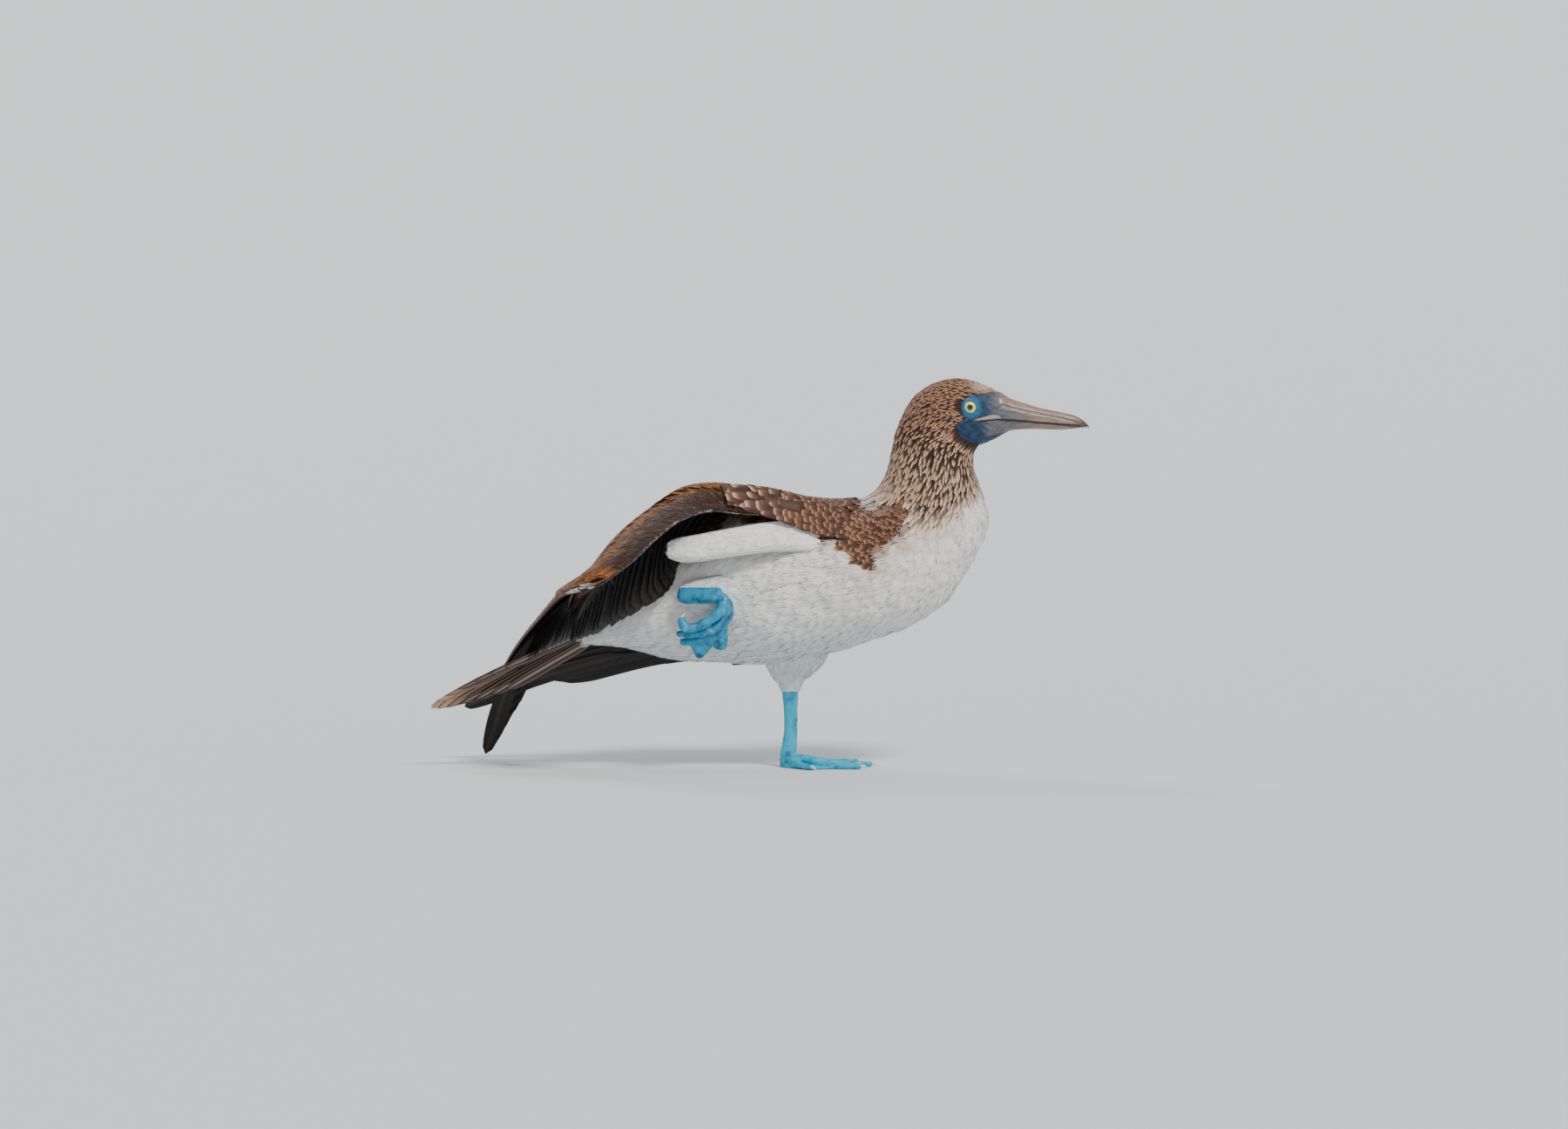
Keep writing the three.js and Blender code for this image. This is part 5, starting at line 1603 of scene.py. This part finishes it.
def folded_web(outline, y, thickness, waves):
    """A folded web seen edge on: a flat lobe with soft folds across it."""
    ring = spline(outline + outline[:1], np.linspace(0, 1, 80, endpoint=False))
    centre = ring.mean(0)
    rows = 16
    u = np.linspace(1, 0.02, rows)[:, None, None]
    flat = centre + (ring[None] - centre) * u
    fold = 1.3 * np.sin(waves * flat[..., 0] / 10 + flat[..., 1] / 9)
    half = thickness / 2 * np.sqrt(np.clip(1 - u[..., 0] ** 4, 0.02, 1)) + 0.3
    right, left = (np.stack([flat[..., 0], y + fold + out * half, flat[..., 1]], -1) for out in (-1, 1))
    return closed_tube(np.concatenate([right[::-1], left], 0))


def raised_leg():
    """The right shank with its curled toes and folded webs, and its claws."""
    parts = []
    for path, radii in RAISED_TOES:
        parts.append(closed_tube(domed(knuckled(tube(path, radii, steps=60), 0.06, 7), 2.2)))
    parts.append(folded_web(BIG_WEB, -71, 4, 3.0))
    parts.append(folded_web(SMALL_WEB, -66.5, 4, 3.0))
    shank = tube(
        [(-112, -62, 188.5), (-105, -66, 188.5), (-90, -71, 189), (-74, -74, 190)],
        [(8, 9.4), (7.4, 9.2), (6.6, 8.6), (6.4, 8)],
    )
    parts.append(closed_tube(domed(shank, 5.0)))
    # painted shade: the raised foot uses the darker copy of the blue
    leg = fused("leg_right_skin", parts, 0.8, foot_blue_shaded)
    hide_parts("shank_right", "foot_right")
    path = [(-112.6, -88.4, 163), (-112, -88.6, 168), (-109, -88, 171)]
    claw_piece("claw_right_1", path, (2.4, 1.7, 0.3))
    path = [(-118, -80, 149.4), (-122, -80, 149), (-126, -79.5, 147)]
    claw_piece("claw_right_2", path, (1.9, 1.4, 0.3))


# Stage, light and camera

FLOOR_FLAT_TO = 0.5
FLOOR_RISE = 0.022
FLOOR_DEPTH = 14.0
FLOOR_HALF_WIDTH = 9.0


def stage():
    """A pale floor that is flat round the bird and rises very slowly far behind it."""
    depth = np.concatenate([[-10.0, FLOOR_FLAT_TO], np.linspace(FLOOR_FLAT_TO, FLOOR_DEPTH, 90)[1:]])
    height = FLOOR_RISE * np.maximum(depth - FLOOR_FLAT_TO, 0) ** 2
    left = np.stack([np.full(len(depth), -FLOOR_HALF_WIDTH), depth, height], -1)
    right = left * np.array([-1, 1, 1])
    points = np.stack([left, right], 1).reshape(-1, 3)
    floor_look = Material("floor", 0.75, sockets={"Base Color": (0.74, 0.75, 0.76, 1)})
    mesh = bpy.data.meshes.new("floor")
    mesh.from_pydata(points.tolist(), [], grid_faces(len(depth), 2)[:, ::-1].tolist())
    for polygon in mesh.polygons:
        polygon.use_smooth = True
    mesh.materials.append(floor_look.material)
    floor = bpy.data.objects.new("floor", mesh)
    bpy.context.scene.collection.objects.link(floor)


def soft_sun(name, come_from, power, spread, colour):
    """An even light from one direction. spread is how wide it looks, in degrees."""
    data = bpy.data.lights.new(name, "SUN")
    data.energy = power
    data.angle = math.radians(spread)
    data.color = colour
    lamp = bpy.data.objects.new(name, data)
    lamp.rotation_euler = look_along([-c for c in come_from])
    bpy.context.scene.collection.objects.link(lamp)


def look_along(direction):
    return Vector(tuple(direction)).to_track_quat("-Z", "Y").to_euler()


def lights_and_camera():
    world = bpy.data.worlds.new("studio")
    bpy.context.scene.world = world
    world.use_nodes = True
    sky = world.node_tree.nodes["Background"].inputs
    sky["Color"].default_value = (0.86, 0.92, 1.0, 1)
    sky["Strength"].default_value = 0.62
    soft_sun("key", (0.55, -0.9, 1.25), power=2.7, spread=14, colour=(1.0, 0.97, 0.93))
    soft_sun("back", (-0.7, 0.9, 0.9), power=0.8, spread=20, colour=(1.0, 0.98, 0.96))
    data = bpy.data.cameras.new("camera")
    data.sensor_width = SENSOR
    data.lens = SENSOR * CAMERA_DISTANCE / PHOTO_WIDTH_MM
    data.clip_end = 100
    camera = bpy.data.objects.new("camera", data)
    away = np.array([0, -math.cos(CAMERA_ELEVATION), math.sin(CAMERA_ELEVATION)]) * CAMERA_DISTANCE
    camera.location = tuple((np.array(LOOK_AT) + away) * MM)
    camera.rotation_euler = look_along(-away)
    bpy.context.scene.collection.objects.link(camera)
    bpy.context.scene.camera = camera


soft_feather = feather_material("soft_feather", 0.75, 1.1, 0.25, sheen=0.15, contrast=0.06)
neck_feather = feather_material("neck_feather", 0.72, 2.0, 0.3, sheen=0.1, contrast=0.16)
vane_feather = feather_material("vane_feather", 0.5, 0.9, 0.5, sheen=0.05, contrast=0.2)
skin = skin_material("skin")
horn = bill_material("horn")
horn_skin = skin_material("face_skin")
claw = claw_material("claw", srgb(226, 214, 196))
# one blue foot skin twice: the raised foot's copy is darker as painted shade
foot_blue_lit = foot_material("foot_blue_lit", srgb(0, 174, 206), srgb(0, 106, 148), 620.0)
foot_blue_shaded = foot_material("foot_blue_shaded", srgb(0, 144, 184), srgb(0, 70, 104), 520.0)
white_down = (soft_feather, "plumage_white")
brown_vanes = (vane_feather, "plumage_brown")
dark_vanes = (vane_feather, "flight_feathers")

stage()
lights_and_camera()
build_skin()
face_patch()
bill()
eyes()
standing_leg()
raised_leg()
right_wing()
left_wing()
tail()
axillaries()
scapulars()
thigh_coat()
body_coat()
